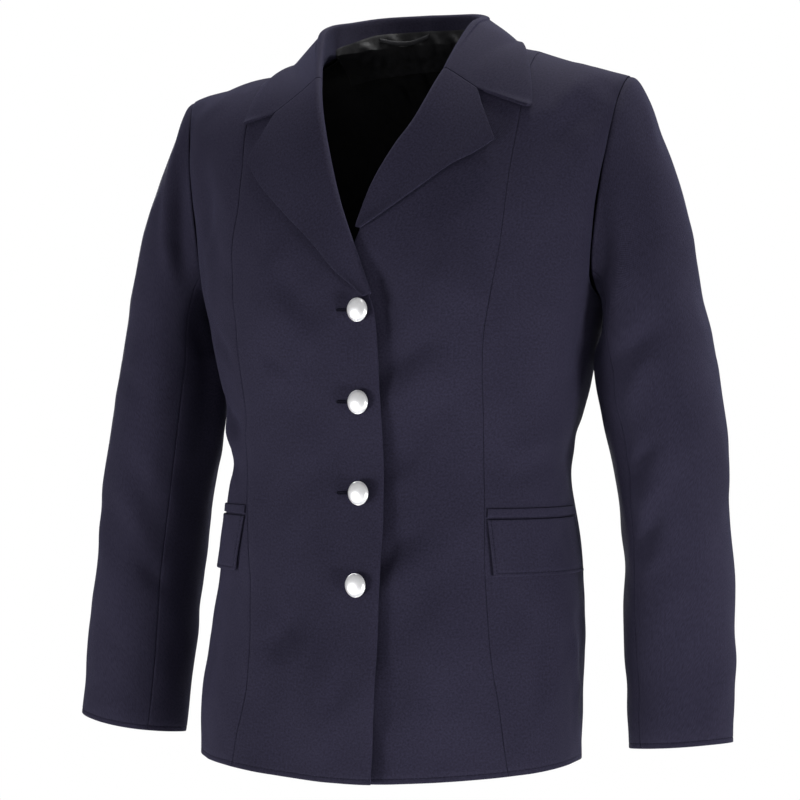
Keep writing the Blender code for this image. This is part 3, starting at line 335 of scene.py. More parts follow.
# Folds in the cloth. Side 1 is the wearer's left, -1 the right and 0 both. A depth above 0 is a
# ridge. On the body the ends are x and z on its own side; on a sleeve, degrees round it and way
# down it. The bow bends the middle of the line aside.
FOLD_FADE, FOLD_PARTS = 0.42, 8
BODY_FOLDS = (
    ("side", "face", "x0", "z0", "x1", "z1", "bow", "width", "depth"),
    (-1, "front", 0.086, -0.192, 0.020, -0.258, 0.004, 0.013, -0.0038),
    (-1, "front", 0.092, -0.220, 0.030, -0.284, 0.004, 0.012, 0.0023),
    (-1, "front", 0.103, -0.268, 0.055, -0.298, 0.003, 0.008, -0.0026),
    (-1, "front", 0.062, -0.325, 0.034, -0.392, 0.004, 0.017, 0.0020),
    (-1, "front", 0.096, -0.548, 0.048, -0.500, 0.004, 0.012, -0.0043),
    (-1, "front", 0.082, -0.572, 0.034, -0.518, 0.004, 0.013, 0.0029),
    (-1, "front", 0.026, -0.600, 0.004, -0.545, 0.003, 0.010, -0.0029),
    (-1, "front", 0.165, -0.308, 0.119, -0.352, 0.006, 0.008, -0.0043),
    (-1, "front", 0.162, -0.332, 0.126, -0.370, 0.004, 0.009, 0.0029),
    (-1, "front", 0.164, -0.248, 0.118, -0.288, 0.005, 0.009, -0.0029),
    (-1, "front", 0.165, -0.378, 0.122, -0.386, -0.003, 0.009, -0.0023),
    (-1, "front", 0.180, -0.070, 0.154, -0.195, 0.006, 0.015, -0.0043),
    (-1, "front", 0.158, -0.250, 0.172, -0.165, 0.006, 0.012, 0.0026),
    (-1, "front", 0.140, -0.100, 0.128, -0.210, 0.004, 0.014, 0.0017),
    (-1, "front", 0.140, -0.500, 0.146, -0.610, 0.005, 0.016, -0.0029),
    (1, "front", 0.000, -0.318, 0.092, -0.254, 0.005, 0.012, -0.0038),
    (1, "front", 0.006, -0.344, 0.098, -0.284, 0.005, 0.014, 0.0026),
    (1, "front", 0.008, -0.182, 0.030, -0.292, 0.004, 0.010, -0.0038),
    (1, "front", 0.002, -0.484, 0.072, -0.418, 0.004, 0.011, -0.0036),
    (1, "front", 0.006, -0.508, 0.080, -0.444, 0.004, 0.012, 0.0022),
    (1, "front", 0.026, -0.392, 0.060, -0.362, 0.003, 0.010, -0.0020),
    (1, "front", 0.054, -0.200, 0.108, -0.250, 0.006, 0.015, 0.0032),
    (1, "front", 0.080, -0.150, 0.122, -0.240, 0.006, 0.012, -0.0032),
    (1, "front", 0.190, -0.052, 0.144, -0.104, 0.005, 0.013, -0.0043),
    (1, "front", 0.188, -0.026, 0.144, -0.066, 0.005, 0.012, 0.0020),
    (1, "front", 0.189, -0.175, 0.158, -0.340, 0.006, 0.013, -0.0046),
    (1, "front", 0.162, -0.180, 0.140, -0.330, 0.006, 0.013, 0.0026),
    (1, "front", 0.165, -0.372, 0.120, -0.396, -0.004, 0.010, -0.0029),
    (1, "front", 0.164, -0.352, 0.126, -0.372, -0.004, 0.009, 0.0023),
    (1, "front", 0.148, -0.485, 0.157, -0.612, 0.004, 0.013, -0.0043),
    (1, "front", 0.167, -0.490, 0.175, -0.630, 0.003, 0.009, 0.0032),
    (1, "front", 0.078, -0.480, 0.060, -0.590, 0.005, 0.020, 0.0023),
    (1, "front", 0.040, -0.530, 0.030, -0.620, 0.004, 0.014, -0.0026),
    (1, "front", 0.070, -0.330, 0.104, -0.388, 0.004, 0.016, 0.0023),
    (0, "back", 0.170, -0.345, 0.060, -0.372, 0.006, 0.011, -0.0049),
    (0, "back", 0.168, -0.330, 0.070, -0.352, 0.005, 0.010, 0.0032),
    (1, "back", 0.160, -0.400, 0.072, -0.392, -0.005, 0.011, -0.0035),
    (-1, "back", 0.162, -0.388, 0.080, -0.402, 0.006, 0.012, -0.0041),
    (1, "back", 0.172, -0.120, 0.158, -0.235, 0.006, 0.014, -0.0049),
    (-1, "back", 0.170, -0.130, 0.160, -0.240, 0.005, 0.013, -0.0043),
    (1, "back", 0.150, -0.110, 0.140, -0.230, 0.004, 0.014, 0.0026),
    (-1, "back", 0.148, -0.100, 0.142, -0.220, 0.004, 0.014, 0.0023),
    (1, "back", 0.140, -0.250, 0.066, -0.330, 0.010, 0.016, -0.0038),
    (-1, "back", 0.146, -0.262, 0.060, -0.322, 0.008, 0.015, -0.0032),
    (1, "back", 0.100, -0.430, 0.120, -0.600, 0.004, 0.024, 0.0029),
    (-1, "back", 0.092, -0.440, 0.110, -0.610, 0.005, 0.022, 0.0032),
    (1, "back", 0.060, -0.440, 0.066, -0.590, 0.004, 0.018, -0.0026),
    (-1, "back", 0.052, -0.450, 0.058, -0.600, 0.004, 0.018, -0.0023),
)
SLEEVE_FOLDS = (
    ("side", "spin0", "way0", "spin1", "way1", "bow", "width", "depth"),
    (-1, 14.0, 0.14, 116.0, 0.56, 0.0, 0.0075, 0.0036),
    (-1, 36.0, 0.06, 126.0, 0.40, 4.0, 0.0080, -0.0040),
    (-1, 112.0, 0.10, 148.0, 1.56, 22.0, 0.0130, -0.0052),
    (-1, 150.0, 0.40, 174.0, 1.56, 10.0, 0.0100, 0.0030),
    (-1, 20.0, 0.42, 70.0, 0.92, 4.0, 0.0180, 0.0018),
    (-1, 62.0, 1.20, 116.0, 1.46, 6.0, 0.0120, -0.0026),
    (-1, 60.0, 1.30, 112.0, 1.56, 6.0, 0.0120, 0.0018),
    (-1, 84.0, 1.54, 138.0, 1.65, 6.0, 0.0095, -0.0026),
    (-1, 30.0, 1.02, 96.0, 1.12, 8.0, 0.0110, -0.0020),
    (-1, 14.0, 1.36, 84.0, 1.72, 6.0, 0.0140, 0.0016),
    (1, 50.0, 0.78, 140.0, 1.09, 6.0, 0.0110, -0.0044),
    (1, 46.0, 0.90, 132.0, 1.18, 6.0, 0.0110, 0.0028),
    (1, 76.0, 1.19, 130.0, 1.33, 5.0, 0.0085, -0.0054),
    (1, 70.0, 1.29, 126.0, 1.43, 5.0, 0.0090, 0.0030),
    (1, 80.0, 1.39, 128.0, 1.53, 5.0, 0.0085, -0.0046),
    (1, 76.0, 1.49, 126.0, 1.62, 5.0, 0.0090, 0.0024),
    (1, 126.0, 1.06, 122.0, 1.50, 6.0, 0.0100, -0.0032),
    (1, 44.0, 1.14, 88.0, 1.32, 5.0, 0.0160, 0.0020),
    (1, 76.0, 0.05, 144.0, 0.70, 8.0, 0.0095, -0.0036),
    (1, 52.0, 0.10, 114.0, 0.66, 8.0, 0.0140, 0.0018),
    (1, 4.0, 0.18, 18.0, 0.46, 3.0, 0.0080, 0.0016),
    (1, 40.0, 1.62, 104.0, 1.80, 6.0, 0.0120, -0.0018),
    (0, 262.0, 0.90, 206.0, 1.12, -6.0, 0.0090, -0.0036),
    (0, 268.0, 1.00, 214.0, 1.20, -6.0, 0.0100, 0.0024),
    (1, 270.0, 1.26, 216.0, 1.34, -5.0, 0.0080, -0.0032),
    (-1, 266.0, 1.30, 208.0, 1.42, -6.0, 0.0080, -0.0034),
    (1, 300.0, 0.06, 252.0, 0.52, -14.0, 0.0110, -0.0030),
    (-1, 304.0, 0.08, 248.0, 0.56, -12.0, 0.0120, -0.0028),
    (0, 318.0, 0.16, 266.0, 0.62, -12.0, 0.0120, 0.0022),
    (1, 205.0, 0.24, 190.0, 0.96, -8.0, 0.0130, -0.0036),
    (1, 172.0, 0.50, 164.0, 1.40, 0.0, 0.0220, 0.0060),
    (-1, 178.0, 0.74, 172.0, 1.34, 0.0, 0.0260, 0.0060),
)

# Slack: waves a metre in x, y and z, how far along they start, how much each is bent, and height
SLACK_WAVES = (
    (3.2, 2.1, 5.3, 0.10, 0.9, 0.00080),
    (-4.4, 3.0, 8.1, 0.42, 1.1, 0.00060),
    (9.5, -5.2, 6.4, 0.71, 1.2, 0.00045),
    (6.0, 11.0, -13.5, 0.18, 1.3, 0.00034),
    (-15.0, 8.0, 12.0, 0.55, 1.2, 0.00026),
    (17.0, 13.0, 19.0, 0.31, 1.4, 0.00020),
)
BEND_TURN, SLEEVE_SLACK = (1.7, -2.3, 1.3), 0.8

# How far beyond the lapels' edges the creases are held flat, and the ridge they may still have
LAPEL_COVER, COVER_RISE, COVER_Y = 0.0150, 0.0003, 0.02

# Sleeve head: the seam's rope at the top and its sunk line lower down
HEAD_ROPE, HEAD_WAY, HEAD_WIDE, HEAD_SPREAD = 0.0004, 0.120, 0.060, 1.4
HEAD_SINK, HEAD_SINK_WIDE, HEAD_FADE = 0.0010, 0.020, 0.10

# Small folds of the satin under the neck: two ends by x and z, width and depth
SATIN_FOLDS = (
    (-0.050, -0.006, -0.012, -0.030, 0.0040, 0.0030),
    (-0.034, 0.004, -0.020, -0.044, 0.0032, 0.0022),
    (-0.012, 0.004, 0.004, -0.036, 0.0044, 0.0028),
    (0.004, -0.010, 0.030, -0.026, 0.0036, 0.0024),
    (0.018, 0.006, 0.024, -0.034, 0.0030, 0.0018),
    (0.034, 0.000, 0.056, -0.030, 0.0046, 0.0026),
    (-0.056, -0.020, -0.040, -0.060, 0.0050, 0.0020),
    (0.046, -0.030, 0.026, -0.066, 0.0050, 0.0018),
    (-0.040, 0.030, -0.022, 0.000, 0.0036, 0.0022),
    (-0.018, 0.028, -0.006, -0.004, 0.0030, 0.0020),
    (-0.002, 0.030, 0.014, 0.006, 0.0034, 0.0018),
    (0.020, 0.026, 0.040, 0.002, 0.0032, 0.0024),
    (0.046, 0.028, 0.060, 0.004, 0.0034, 0.0018),
    (-0.060, 0.020, -0.044, -0.002, 0.0034, 0.0018),
)
SATIN_LOW, SATIN_HIGH, SATIN_FADE = -0.110, -0.020, 0.35
SATIN_SAG, SAG_ACROSS, SAG_DOWN = 0.0004, 0.050, 0.40

# Sewing
HEM_STITCH, FLAP_STITCH = 0.0045, 0.0030
STITCH_SINK, SUNK_SHARE, STITCH_GROOVE_WIDE = 0.00035, 0.99, 0.0005
STITCH_LENGTH, STITCH_GAP, STITCH_RADIUS, STITCH_SIDES = 0.0026, 0.0008, 0.00024, 6

# Middle of the body, and of the under sleeve by x, which the stitches there face away from
BODY_MIDDLE, UNDER_MIDDLE = (0.0, -0.02, 0.0), 0.05

# A stitch along its length: places, thickness and height over the cloth, by its radius
STITCH_PLACES = np.array((0.0, 0.22, 0.5, 0.78, 1.0))
STITCH_THICK = np.array((0.35, 0.95, 1.0, 0.95, 0.35))
STITCH_LIFT = np.array((-0.7, 0.35, 0.6, 0.35, -0.7))

# Buttonhole: its ends by x and its height, the purl's thickness, ribs and steps
HOLE_START, HOLE_END, HOLE_TALL, HOLE_OUT = -0.0040, 0.0180, 0.0015, 0.0020
HOLE_PURL, HOLE_FLAT, HOLE_OVER, HOLE_STEP, HOLE_SIDES = 0.0008, 0.62, 0.00025, 0.00016, 10
RIB_DEEP, RIB_LONG = 0.16, 0.00085

# The cut in it, near-black as painted shade in the slit: its share of the height, its swelling,
# and its top and foot off the face
CUT_SHARE, CUT_SWELL, CUT_OFFS, CUT_COLUMNS = 0.42, 0.10, (0.00012, -0.0004), 33

# Edge and back of a button, by shares of its radius and its rim's height
BUTTON_EDGE = (
    (0.962, 1.10), (0.975, 1.25), (0.992, 1.15), (1.000, 0.80), (0.998, 0.40), (0.975, 0.05),
)
DOME_SHARE, DOME_DEGREES, DOME_STEPS, BUTTON_STEPS = 0.965, 84, 20, 72
BACK_SHARE, BACK_SINK, SHANK_FLARE, FLARE_SINK, SHANK_SINK = 0.90, -0.0001, 1.6, -0.0003, -0.0006

# Stage and camera
FLOOR_Z, FLOOR_RADIUS, FLOOR_STEPS = -1.42, 4.0, 96
CAMERA_PLACE, CAMERA_TURN = (0.8139, -2.2578, -0.3195), (90.0, 0.0, 20.0)
CAMERA_LENS, CAMERA_SENSOR, CAMERA_END = 117.39, 36.0, 50.0
WORLD_LIGHT, BACKDROP_LIGHT = 0.34, 1.0
BACKDROP_WAY, BACKDROP_START, BACKDROP_FULL = (-0.342, 0.940, 0.0), 0.900, 0.962
LIGHTS = (
    ("overhead", (0.2, 0.5, 1.8), (0.0, 0.0, -0.1), 0.8, 66.0),
    ("key_left", (-1.8, -1.7, -1.2), (0.0, 0.0, -0.5), 0.9, 52.0),
    ("key_right", (2.1, -1.0, -1.1), (0.0, 0.0, -0.5), 0.5, 42.0),
    ("side_left", (-1.6, 2.0, 0.0), (0.0, 0.0, -0.4), 0.6, 26.0),
    ("side_right", (2.2, 1.4, 0.0), (0.0, 0.0, -0.4), 0.6, 12.0),
)


def curve_shares(t):
    """Shares of a curve's start, its lean there, its end and its lean there, at t from 0 to 1."""
    return 2 * t**3 - 3 * t**2 + 1, t**3 - 2 * t**2 + t, 3 * t**2 - 2 * t**3, t**3 - t**2


def column(rows, key, value, name):
    """The named column of a table at this value of its key, on a smooth curve through its rows."""
    names = rows[0]
    data = np.array(sorted(rows[1:], key=lambda row: row[names.index(key)]), float)
    xs = data[:, names.index(key)]
    ys = data[:, names.index(name)]
    slope = np.diff(ys) / np.diff(xs)
    at_row = np.concatenate([slope[:1], (slope[:-1] + slope[1:]) / 2, slope[-1:]])
    value = np.clip(value, xs[0], xs[-1])
    low = np.clip(np.searchsorted(xs, value, side="right") - 1, 0, len(xs) - 2)
    wide = xs[low + 1] - xs[low]
    start, leave, end, arrive = curve_shares((value - xs[low]) / wide)
    lean = leave * at_row[low] + arrive * at_row[low + 1]
    return start * ys[low] + end * ys[low + 1] + lean * wide


def columns_of(rows, key, value, names):
    return [column(rows, key, value, name) for name in names]


def ease(t):
    t = np.clip(t, 0, 1)
    return t * t * (3 - 2 * t)


def fade(value, start, full):
    """Smooth share from 0 at the start value to 1 at the full one."""
    return ease((value - start) / (full - start))


def unit(vectors):
    return vectors / np.linalg.norm(vectors, axis=-1, keepdims=True)


def flipped(points):
    return points * np.array((-1.0, 1.0, 1.0))


def lengths(points, axis=0):
    """Distances along a line or a grid of points, from its first one."""
    step = np.linalg.norm(np.diff(points, axis=axis), axis=-1)
    first = np.zeros_like(step.take([0], axis=axis))
    return np.concatenate([first, np.cumsum(step, axis=axis)], axis=axis)


def on_line(where, at, line):
    """Points of a line at these values of what is given for its own points."""
    return np.stack([np.interp(where, at, line[:, k]) for k in range(3)], axis=-1)


def grid_normals(points):
    return unit(np.cross(np.gradient(points, axis=1), np.gradient(points, axis=0)))


def side_word(side):
    return "left" if side > 0 else "right"


def on_side(points, side):
    """Points of the left half put on their own side, the left shoulder a little higher."""
    points = points * np.array((side, 1.0, 1.0))
    x, z = points[..., 0].copy(), points[..., 2].copy()
    near_neck = np.exp(-(((np.abs(x) - NECK_TILT_X) / NECK_TILT_WIDE) ** 2)) * np.sign(x)
    points[..., 2] += SHOULDER_TILT * x * fade(z, CHEST_Z, 0)
    points[..., 2] += NECK_TILT * near_neck * fade(z, NECK_TILT_Z, 0)
    return points


def on_body(points, side):
    """Points of the body put on their own side, down to the hem that hangs to one side."""
    points = on_side(points, side)
    share = fade(points[..., 2], HANG_START_Z, HEM_Z)
    points[..., 0] -= HEM_HANG * share * (points[..., 0] / HANG_HALF) ** 2
    return points


# The body's outer face


def shoulder_z(x):
    return column(SHOULDER, "x", np.abs(x), "z")


def ring_at(low, height, share):
    """Half width, side, front and back depths of the body's ring, below or above the chest."""
    below = columns_of(BODY, "z", np.minimum(height, CHEST_Z), BODY[0][1:])
    above = columns_of(YOKE, "share", share, YOKE[0][1:])
    return [np.where(low, *pair) for pair in zip(below, above)]


def body_point(turn, height, bust=True):
    """Point of the body's outer face at a turn from centre front and a height coordinate.

    Below the chest line the height is z itself. Above it, it is the angle of the arch up to
    the shoulder seam, times ARCH_RISE.
    """
    turn, height = np.broadcast_arrays(np.asarray(turn, float), np.asarray(height, float))
    turn = pi - (pi - turn) % (2 * pi)
    sign = np.where(turn < 0, -1.0, 1.0)
    turn = np.abs(turn)
    front = turn <= pi / 2
    low = height < CHEST_Z
    angle = np.clip((height - CHEST_Z) / ARCH_RISE, 0, pi / 2)
    power = np.where(front, FRONT_ARCH, BACK_ARCH)
    up = np.sin(angle)
    along = np.clip(np.cos(angle), 0, 1)
    reach = (up**power + along**power) ** (-1 / power)
    share, arch = up * reach, along * reach
    half, side, front_y, back_y = ring_at(low, height, share)
    deep = np.where(front, side - front_y, back_y - side)
    square = np.where(front, FRONT_SQUARE, BACK_SQUARE)
    across, ahead = np.sin(turn), np.abs(np.cos(turn))
    reach = ((across / half) ** square + (ahead / deep) ** square) ** (-1 / square)
    x = reach * across
    depth = reach * ahead * np.where(low, 1.0, arch)
    y = side + np.where(front, -depth, depth)
    z = np.where(low, height, CHEST_Z + (shoulder_z(x) - CHEST_Z) * share)
    if bust:
        swell = np.exp(-(((x - BUST_X) / BUST_WIDE) ** 2) - ((z - BUST_Z) / BUST_TALL) ** 2)
        y = y - np.where(front, BUST_OUT * swell, 0.0)
    return np.stack([sign * x, y, z], axis=-1)


def body_place(x, z, front=True):
    """Turn and height coordinate of the body's point at this x and z, on its front or its back."""
    x, z = np.broadcast_arrays(np.asarray(x, float), np.asarray(z, float))
    sign = np.where(x < 0, -1.0, 1.0)
    x = np.abs(x)
    low = z < CHEST_Z
    power = FRONT_ARCH if front else BACK_ARCH
    share = np.clip((z - CHEST_Z) / (shoulder_z(x) - CHEST_Z), 0, 1)
    arch = (1 - share**power) ** (1 / power)
    height = np.where(low, z, CHEST_Z + ARCH_RISE * np.arctan2(share, arch))
    half, side, front_y, back_y = ring_at(low, z, share)
    deep = side - front_y if front else back_y - side
    square = FRONT_SQUARE if front else BACK_SQUARE
    flat = np.clip(1 - (x / half) ** square, 0, 1) ** (1 / square)
    turn = np.arctan2(x, deep * flat)
    return sign * (turn if front else pi - turn), height


def body_steps(turn, height):
    """Small steps over the body's outer face, along it and up it."""
    along = body_point(turn + STEP, height) - body_point(turn - STEP, height)
    up = body_point(turn, height + STEP) - body_point(turn, height - STEP)
    return along, up


def body_normal(turn, height):
    return unit(np.cross(*body_steps(turn, height)))


def body_gap(points):
    """Distance of points outside the body's outer face, to first order, and the way out."""

    def level(p):
        x, y, z = np.abs(p[..., 0]), p[..., 1], p[..., 2]
        share = np.clip((z - CHEST_Z) / (shoulder_z(x) - CHEST_Z), 0, PAST_SEAM)
        half, side, front_y, back_y = ring_at(z < CHEST_Z, z, np.minimum(share, 1))
        front = y < side
        deep = np.where(front, side - front_y, back_y - side)
        square = np.where(front, FRONT_SQUARE, BACK_SQUARE)
        power = np.where(front, FRONT_ARCH, BACK_ARCH)
        flat = np.clip(1 - (x / half) ** square, LEAST_FLAT, 1) ** (1 / square)
        return ((np.abs(y - side) / (deep * flat)) ** power + share**power) ** (1 / power)

    slopes = [
        (level(points + STEP * axis) - level(points - STEP * axis)) / (2 * STEP)
        for axis in np.eye(3)
    ]
    slope = np.stack(slopes, axis=-1)
    size = np.linalg.norm(slope, axis=-1)
    return (level(points) - 1) / size, slope / size[..., None]


def kept_off(points, clear):
    """Points moved out of the body until they clear its outer face."""
    for _ in range(PUSHES):
        gap, out = body_gap(points)
        points = points + out * np.clip(clear - gap, 0, LARGEST_PUSH)[..., None]
    return points


# Seams as turns by height


def seam_turn(rows, side, front=True):
    """A function from the height coordinate to the turn, for a seam given by x at each z."""
    names = rows[0]
    ends = [row[names.index("z")] for row in (rows[1], rows[-1])]
    t = np.linspace(0, 1, SEAM_SAMPLES)
    z = ends[0] + (ends[1] - ends[0]) * (1 - (1 - t) ** SEAM_CROWDING)
    x = column(rows, "z", z, f"{side_word(side)}_x")
    turn, height = body_place(x, z, front)
    return lambda value: np.interp(value, height, turn)


def armhole_turn(front=True):
    name = "front_turn" if front else "back_turn"
    return lambda height: np.radians(column(ARMHOLE, "height", height, name))


def hem_drop(turn, height):
    """The height coordinate with the rows near the bottom moved to the hem's curve."""
    hem = HEM_Z + HEM_SIDE_RISE * np.sin(turn) ** 2
    bottom = ROW_HEIGHTS[0]
    share = np.clip((HEM_STILL_Z - height) / (HEM_STILL_Z - bottom), 0, 1)
    return height + (hem - bottom) * share


def front_lift(side, x, z):
    """How far the right front stands off the body to lie over the left one, x on its own side."""
    if side > 0:
        return np.zeros(np.shape(x))
    overlap = fade(x, OVERLAP_START_X, OVERLAP_FULL_X) * OVERLAP_LIFT
    edge = fade(x, EDGE_START_X, EDGE_FULL_X) * EDGE_LIFT
    return (overlap + edge) * fade(z, LIFT_START_Z, LIFT_FULL_Z)


def inset(grid_turn, grid_height, gap):
    """The grid's outer rows and columns drawn in by a gap, along the body's face."""
    turn, height = grid_turn.copy(), grid_height.copy()
    across, up = (
        np.linalg.norm(steps, axis=-1) / (2 * STEP) for steps in body_steps(turn, height)
    )
    way = np.sign(grid_turn[:, -1] - grid_turn[:, 0])
    turn[:, 0] += way * gap / across[:, 0]
    turn[:, -1] -= way * gap / across[:, -1]
    height[-1] -= gap * SHOULDER_SLACK / np.maximum(up[-1], LEAST_CLIMB)
    return turn, height


def neck_height(turn):
    """Height coordinate of the back neckline at a turn, and of the shoulder seam beyond it."""
    shares = np.linspace(0, SHOULDER_SHARE, NECK_SAMPLES)
    x, z = columns_of(COLLAR, "share", shares, ("neck_x", "neck_z"))
    at_turn, height = body_place(np.maximum(x, 0), z, front=False)
    return np.interp(turn, at_turn[::-1], height[::-1])


def over_body(side, x, z, offset):
    """Points over the front at x and z of the wearer's left half, by their height off its face."""
    turn, height = body_place(x, z)
    rise = offset + front_lift(side, x, z)
    return body_point(turn, height) + body_normal(turn, height) * rise[..., None]


def armhole_ring(round_turn):
    """Points of the armhole by the turn round the sleeve: 0 at the shoulder, 90 at the front."""
    heights = np.linspace(ROW_HEIGHTS[-1], ARMHOLE[1][0], RING_SAMPLES)
    spin = np.asarray(round_turn, float) % 360
    share = np.where(spin <= 180, spin, 360 - spin) / 180
    halves = []
    for front in (True, False):
        line = body_point(armhole_turn(front)(heights), heights)
        length = lengths(line)
        halves.append(on_line(share, length / length[-1], line))
    return np.where((spin <= 180)[..., None], *halves)


def sleeve_ring(round_turn, z):
    """Points of the sleeve's ring centred at this height, square to its axis."""
    spin = np.radians(round_turn)
    x, y, half, deep = columns_of(SLEEVE, "z", z, SLEEVE[0][1:])
    centre = np.stack([x, y, z + 0 * spin], axis=-1)
    above, below = (
        np.stack(columns_of(SLEEVE, "z", z + step, ("x", "y")), axis=-1)
        for step in (AXIS_STEP, -AXIS_STEP)
    )
    up = np.full((*np.shape(z), 1), 2 * AXIS_STEP)
    down = -unit(np.concatenate([above - below, up], axis=-1))
    across = unit(np.array((1.0, 0, 0)) - down * down[..., :1])
    ahead = np.cross(across, down)
    ahead = ahead * -np.sign(ahead[..., 1:2])
    out = across * half[..., None] * np.cos(spin)[..., None]
    out = out + ahead * deep[..., None] * np.sin(spin)[..., None]
    return centre + out, down


def hung(points, side):
    """Points of the left sleeve as one side's sleeve hangs, its inner side kept in place."""
    x, z = points[..., 0], points[..., 2]
    middle, half = columns_of(SLEEVE, "z", z, ("x", "half_across"))
    outer = np.clip((1 + (x - middle) / half) / 2, 0, 1)
    names = [f"{side_word(side)}_{way}" for way in ("out", "down", "up")]
    out, down, up = columns_of(SLEEVE_HANG, "z", z, names)
    return np.stack([x + out * outer, points[..., 1], z - down + up * outer**2], axis=-1)


def sleeve_point(round_turn, way, side):
    """Outer face of a sleeve on the left: way 0 to 1 is the cap, 1 to 2 the arm to the cuff."""
    round_turn, way = np.broadcast_arrays(np.asarray(round_turn, float), np.asarray(way, float))
    top, cuff = SLEEVE[1][0], SLEEVE[-1][0]
    z = np.where(way < 1, top, top + (cuff - top) * (way - 1))
    arm, down = sleeve_ring(round_turn, z)
    ring = armhole_ring(round_turn)
    spin = np.radians(round_turn)
    high = (1 + np.cos(spin)) / 2
    rise = CAP_RISE_FOOT + (CAP_RISE_TOP - CAP_RISE_FOOT) * high
    leave = unit(np.stack([np.ones_like(spin), np.zeros_like(spin), rise], -1))
    reach = np.linalg.norm(arm - ring, axis=-1)
    pull = (CAP_PULL_FOOT + (CAP_PULL_TOP - CAP_PULL_FOOT) * high) * reach
    start, lean_off, end, lean_in = curve_shares(np.clip(way, 0, 1)[..., None])
    cap = (
        start * (ring + leave * SEAM_CLOSE)
        + lean_off * leave * pull[..., None]
        + end * arm
        + lean_in * down * (reach * CAP_PULL_ARM)[..., None]
    )
    return hung(np.where(way[..., None] < 1, cap, arm), side)


# Finer grids of the same form


def refined(values, step):
    """Values with each gap between them divided evenly into parts no wider than a step."""
    fine = [values[0]]
    for start, end in zip(values[:-1], values[1:]):
        parts = max(1, int(np.ceil(abs(end - start) / step)))
        fine.extend(np.linspace(start, end, parts + 1)[1:])
    return np.array(fine)


def fold_line(points):
    """The line of a fold as short straight pieces: their starts and steps."""
    return points[:-1], np.diff(points, axis=0)


def fold_depth(points, line, width, depth):
    """A soft trough or ridge along a line, fading at both ends."""
    starts, steps = line
    nearest = np.full(points.shape[:-1], np.inf)
    share = np.zeros(points.shape[:-1])
    for k, (start, step) in enumerate(zip(starts, steps)):
        rel = points - start
        t = np.clip(rel @ step / (step @ step), 0, 1)
        gap = np.linalg.norm(rel - t[..., None] * step, axis=-1)
        closer = gap < nearest
        nearest = np.where(closer, gap, nearest)
        share = np.where(closer, (k + t) / len(starts), share)
    ends = ease(share / FOLD_FADE) * ease((1 - share) / FOLD_FADE)
    return depth * ends * np.exp(-((nearest / width) ** 2))


def bowed(start, end, bow):
    """Places from start to end in two coordinates, bent sideways in the middle."""
    t = np.linspace(0, 1, FOLD_PARTS + 1)[:, None]
    start, end = np.array(start, float), np.array(end, float)
    return start + (end - start) * t + np.array(bow) * 4 * t * (1 - t)


def body_lines(side):
    lines = []
    for which, face, x0, z0, x1, z1, bow, width, depth in BODY_FOLDS[1:]:
        if which not in (0, side):
            continue
        way = np.array((x1 - x0, z1 - z0))
        sideways = np.array((-way[1], way[0])) / np.linalg.norm(way) * bow
        places = bowed((x0, z0), (x1, z1), sideways)
        turn, height = body_place(places[:, 0], places[:, 1], front=face == "front")
        lines.append((fold_line(body_point(turn, height)), width, depth))
    return lines


def sleeve_lines(side):
    lines = []
    for which, spin0, way0, spin1, way1, bow, width, depth in SLEEVE_FOLDS[1:]:
        if which not in (0, side):
            continue
        places = bowed((spin0, way0), (spin1, way1), (bow, 0.0))
        lines.append((fold_line(sleeve_point(places[:, 0], places[:, 1], side)), width, depth))
    return lines


def slack(side, points):
    """Gentle unevenness of the cloth, the same for every layer at one place."""
    x, y, z = side * points[..., 0], points[..., 1], points[..., 2]
    total = np.zeros(np.shape(x))
    for across, ahead, up, start, bent, height in SLACK_WAVES:
        way = across * x + ahead * y + up * z + start
        bend_x, bend_y, bend_z = BEND_TURN
        aside = bend_x * up * x + bend_y * across * y + bend_z * ahead * z - start
        total = total + height * np.sin(2 * pi * way + bent * np.sin(2 * pi * aside * 0.5))
    return total


def under_lapels(points):
    """1 on the front where the lapels and the collar lie, 0 away from them."""
    x, y, z = points[..., 0], points[..., 1], points[..., 2]
    tip_x, tip_z = RIGHT_LAPEL[-1][3:5]
    foot_x, foot_z = RIGHT_LAPEL[1][3:5]
    lapel = tip_x + (z - tip_z) * (tip_x - foot_x) / (tip_z - foot_z)
    edge = np.where(z < tip_z, lapel, LEFT_COLLAR_POINT[0]) + LAPEL_COVER
    near = fade(x, edge + LAPEL_COVER, edge)
    return near * np.where(y < COVER_Y, 1.0, 0.0)


def body_relief(side, points):
    """How far creases and slack move the body's outer face out, hardly under the lapels."""
    total = slack(side, points)
    for line, width, depth in LINES[("body", side)]:
        total = total + fold_depth(points, line, width, depth)
    covered = under_lapels(points)
    return total * (1 - covered) + np.minimum(total, COVER_RISE) * covered


def sleeve_relief(side, spin, way, points):
    """The same for a sleeve, with the fullness eased into its head."""
    total = slack(side, points) * SLEEVE_SLACK
    for line, width, depth in LINES[("sleeve", side)]:
        total = total + fold_depth(points, line, width, depth)
    top = ease(np.cos(np.radians(spin)) * HEAD_SPREAD)
    roped = HEAD_ROPE * top * np.exp(-(((way - HEAD_WAY) / HEAD_WIDE) ** 2))
    sunk = HEAD_SINK * (1 - top) * np.exp(-((way / HEAD_SINK_WIDE) ** 2))
    return total * ease(way / HEAD_FADE) + roped - sunk


# Cloth pieces


def round_edge(cloth, stitched=None):
    """Lines added along a border: distances in, shares of the thickness, and sinks.

    They make the edge half-round, and sink a line of stitching at a distance in.
    """
    lines = [(share * cloth / 2, thick, 0.0) for share, thick in zip(EDGE_IN, EDGE_THICK)]
    if stitched:
        for across, sink in zip(GROOVE_ACROSS, GROOVE_SINK):
            lines.append((stitched + across * STITCH_GROOVE_WIDE, 1.0, sink * STITCH_SINK))
    return np.transpose(lines)


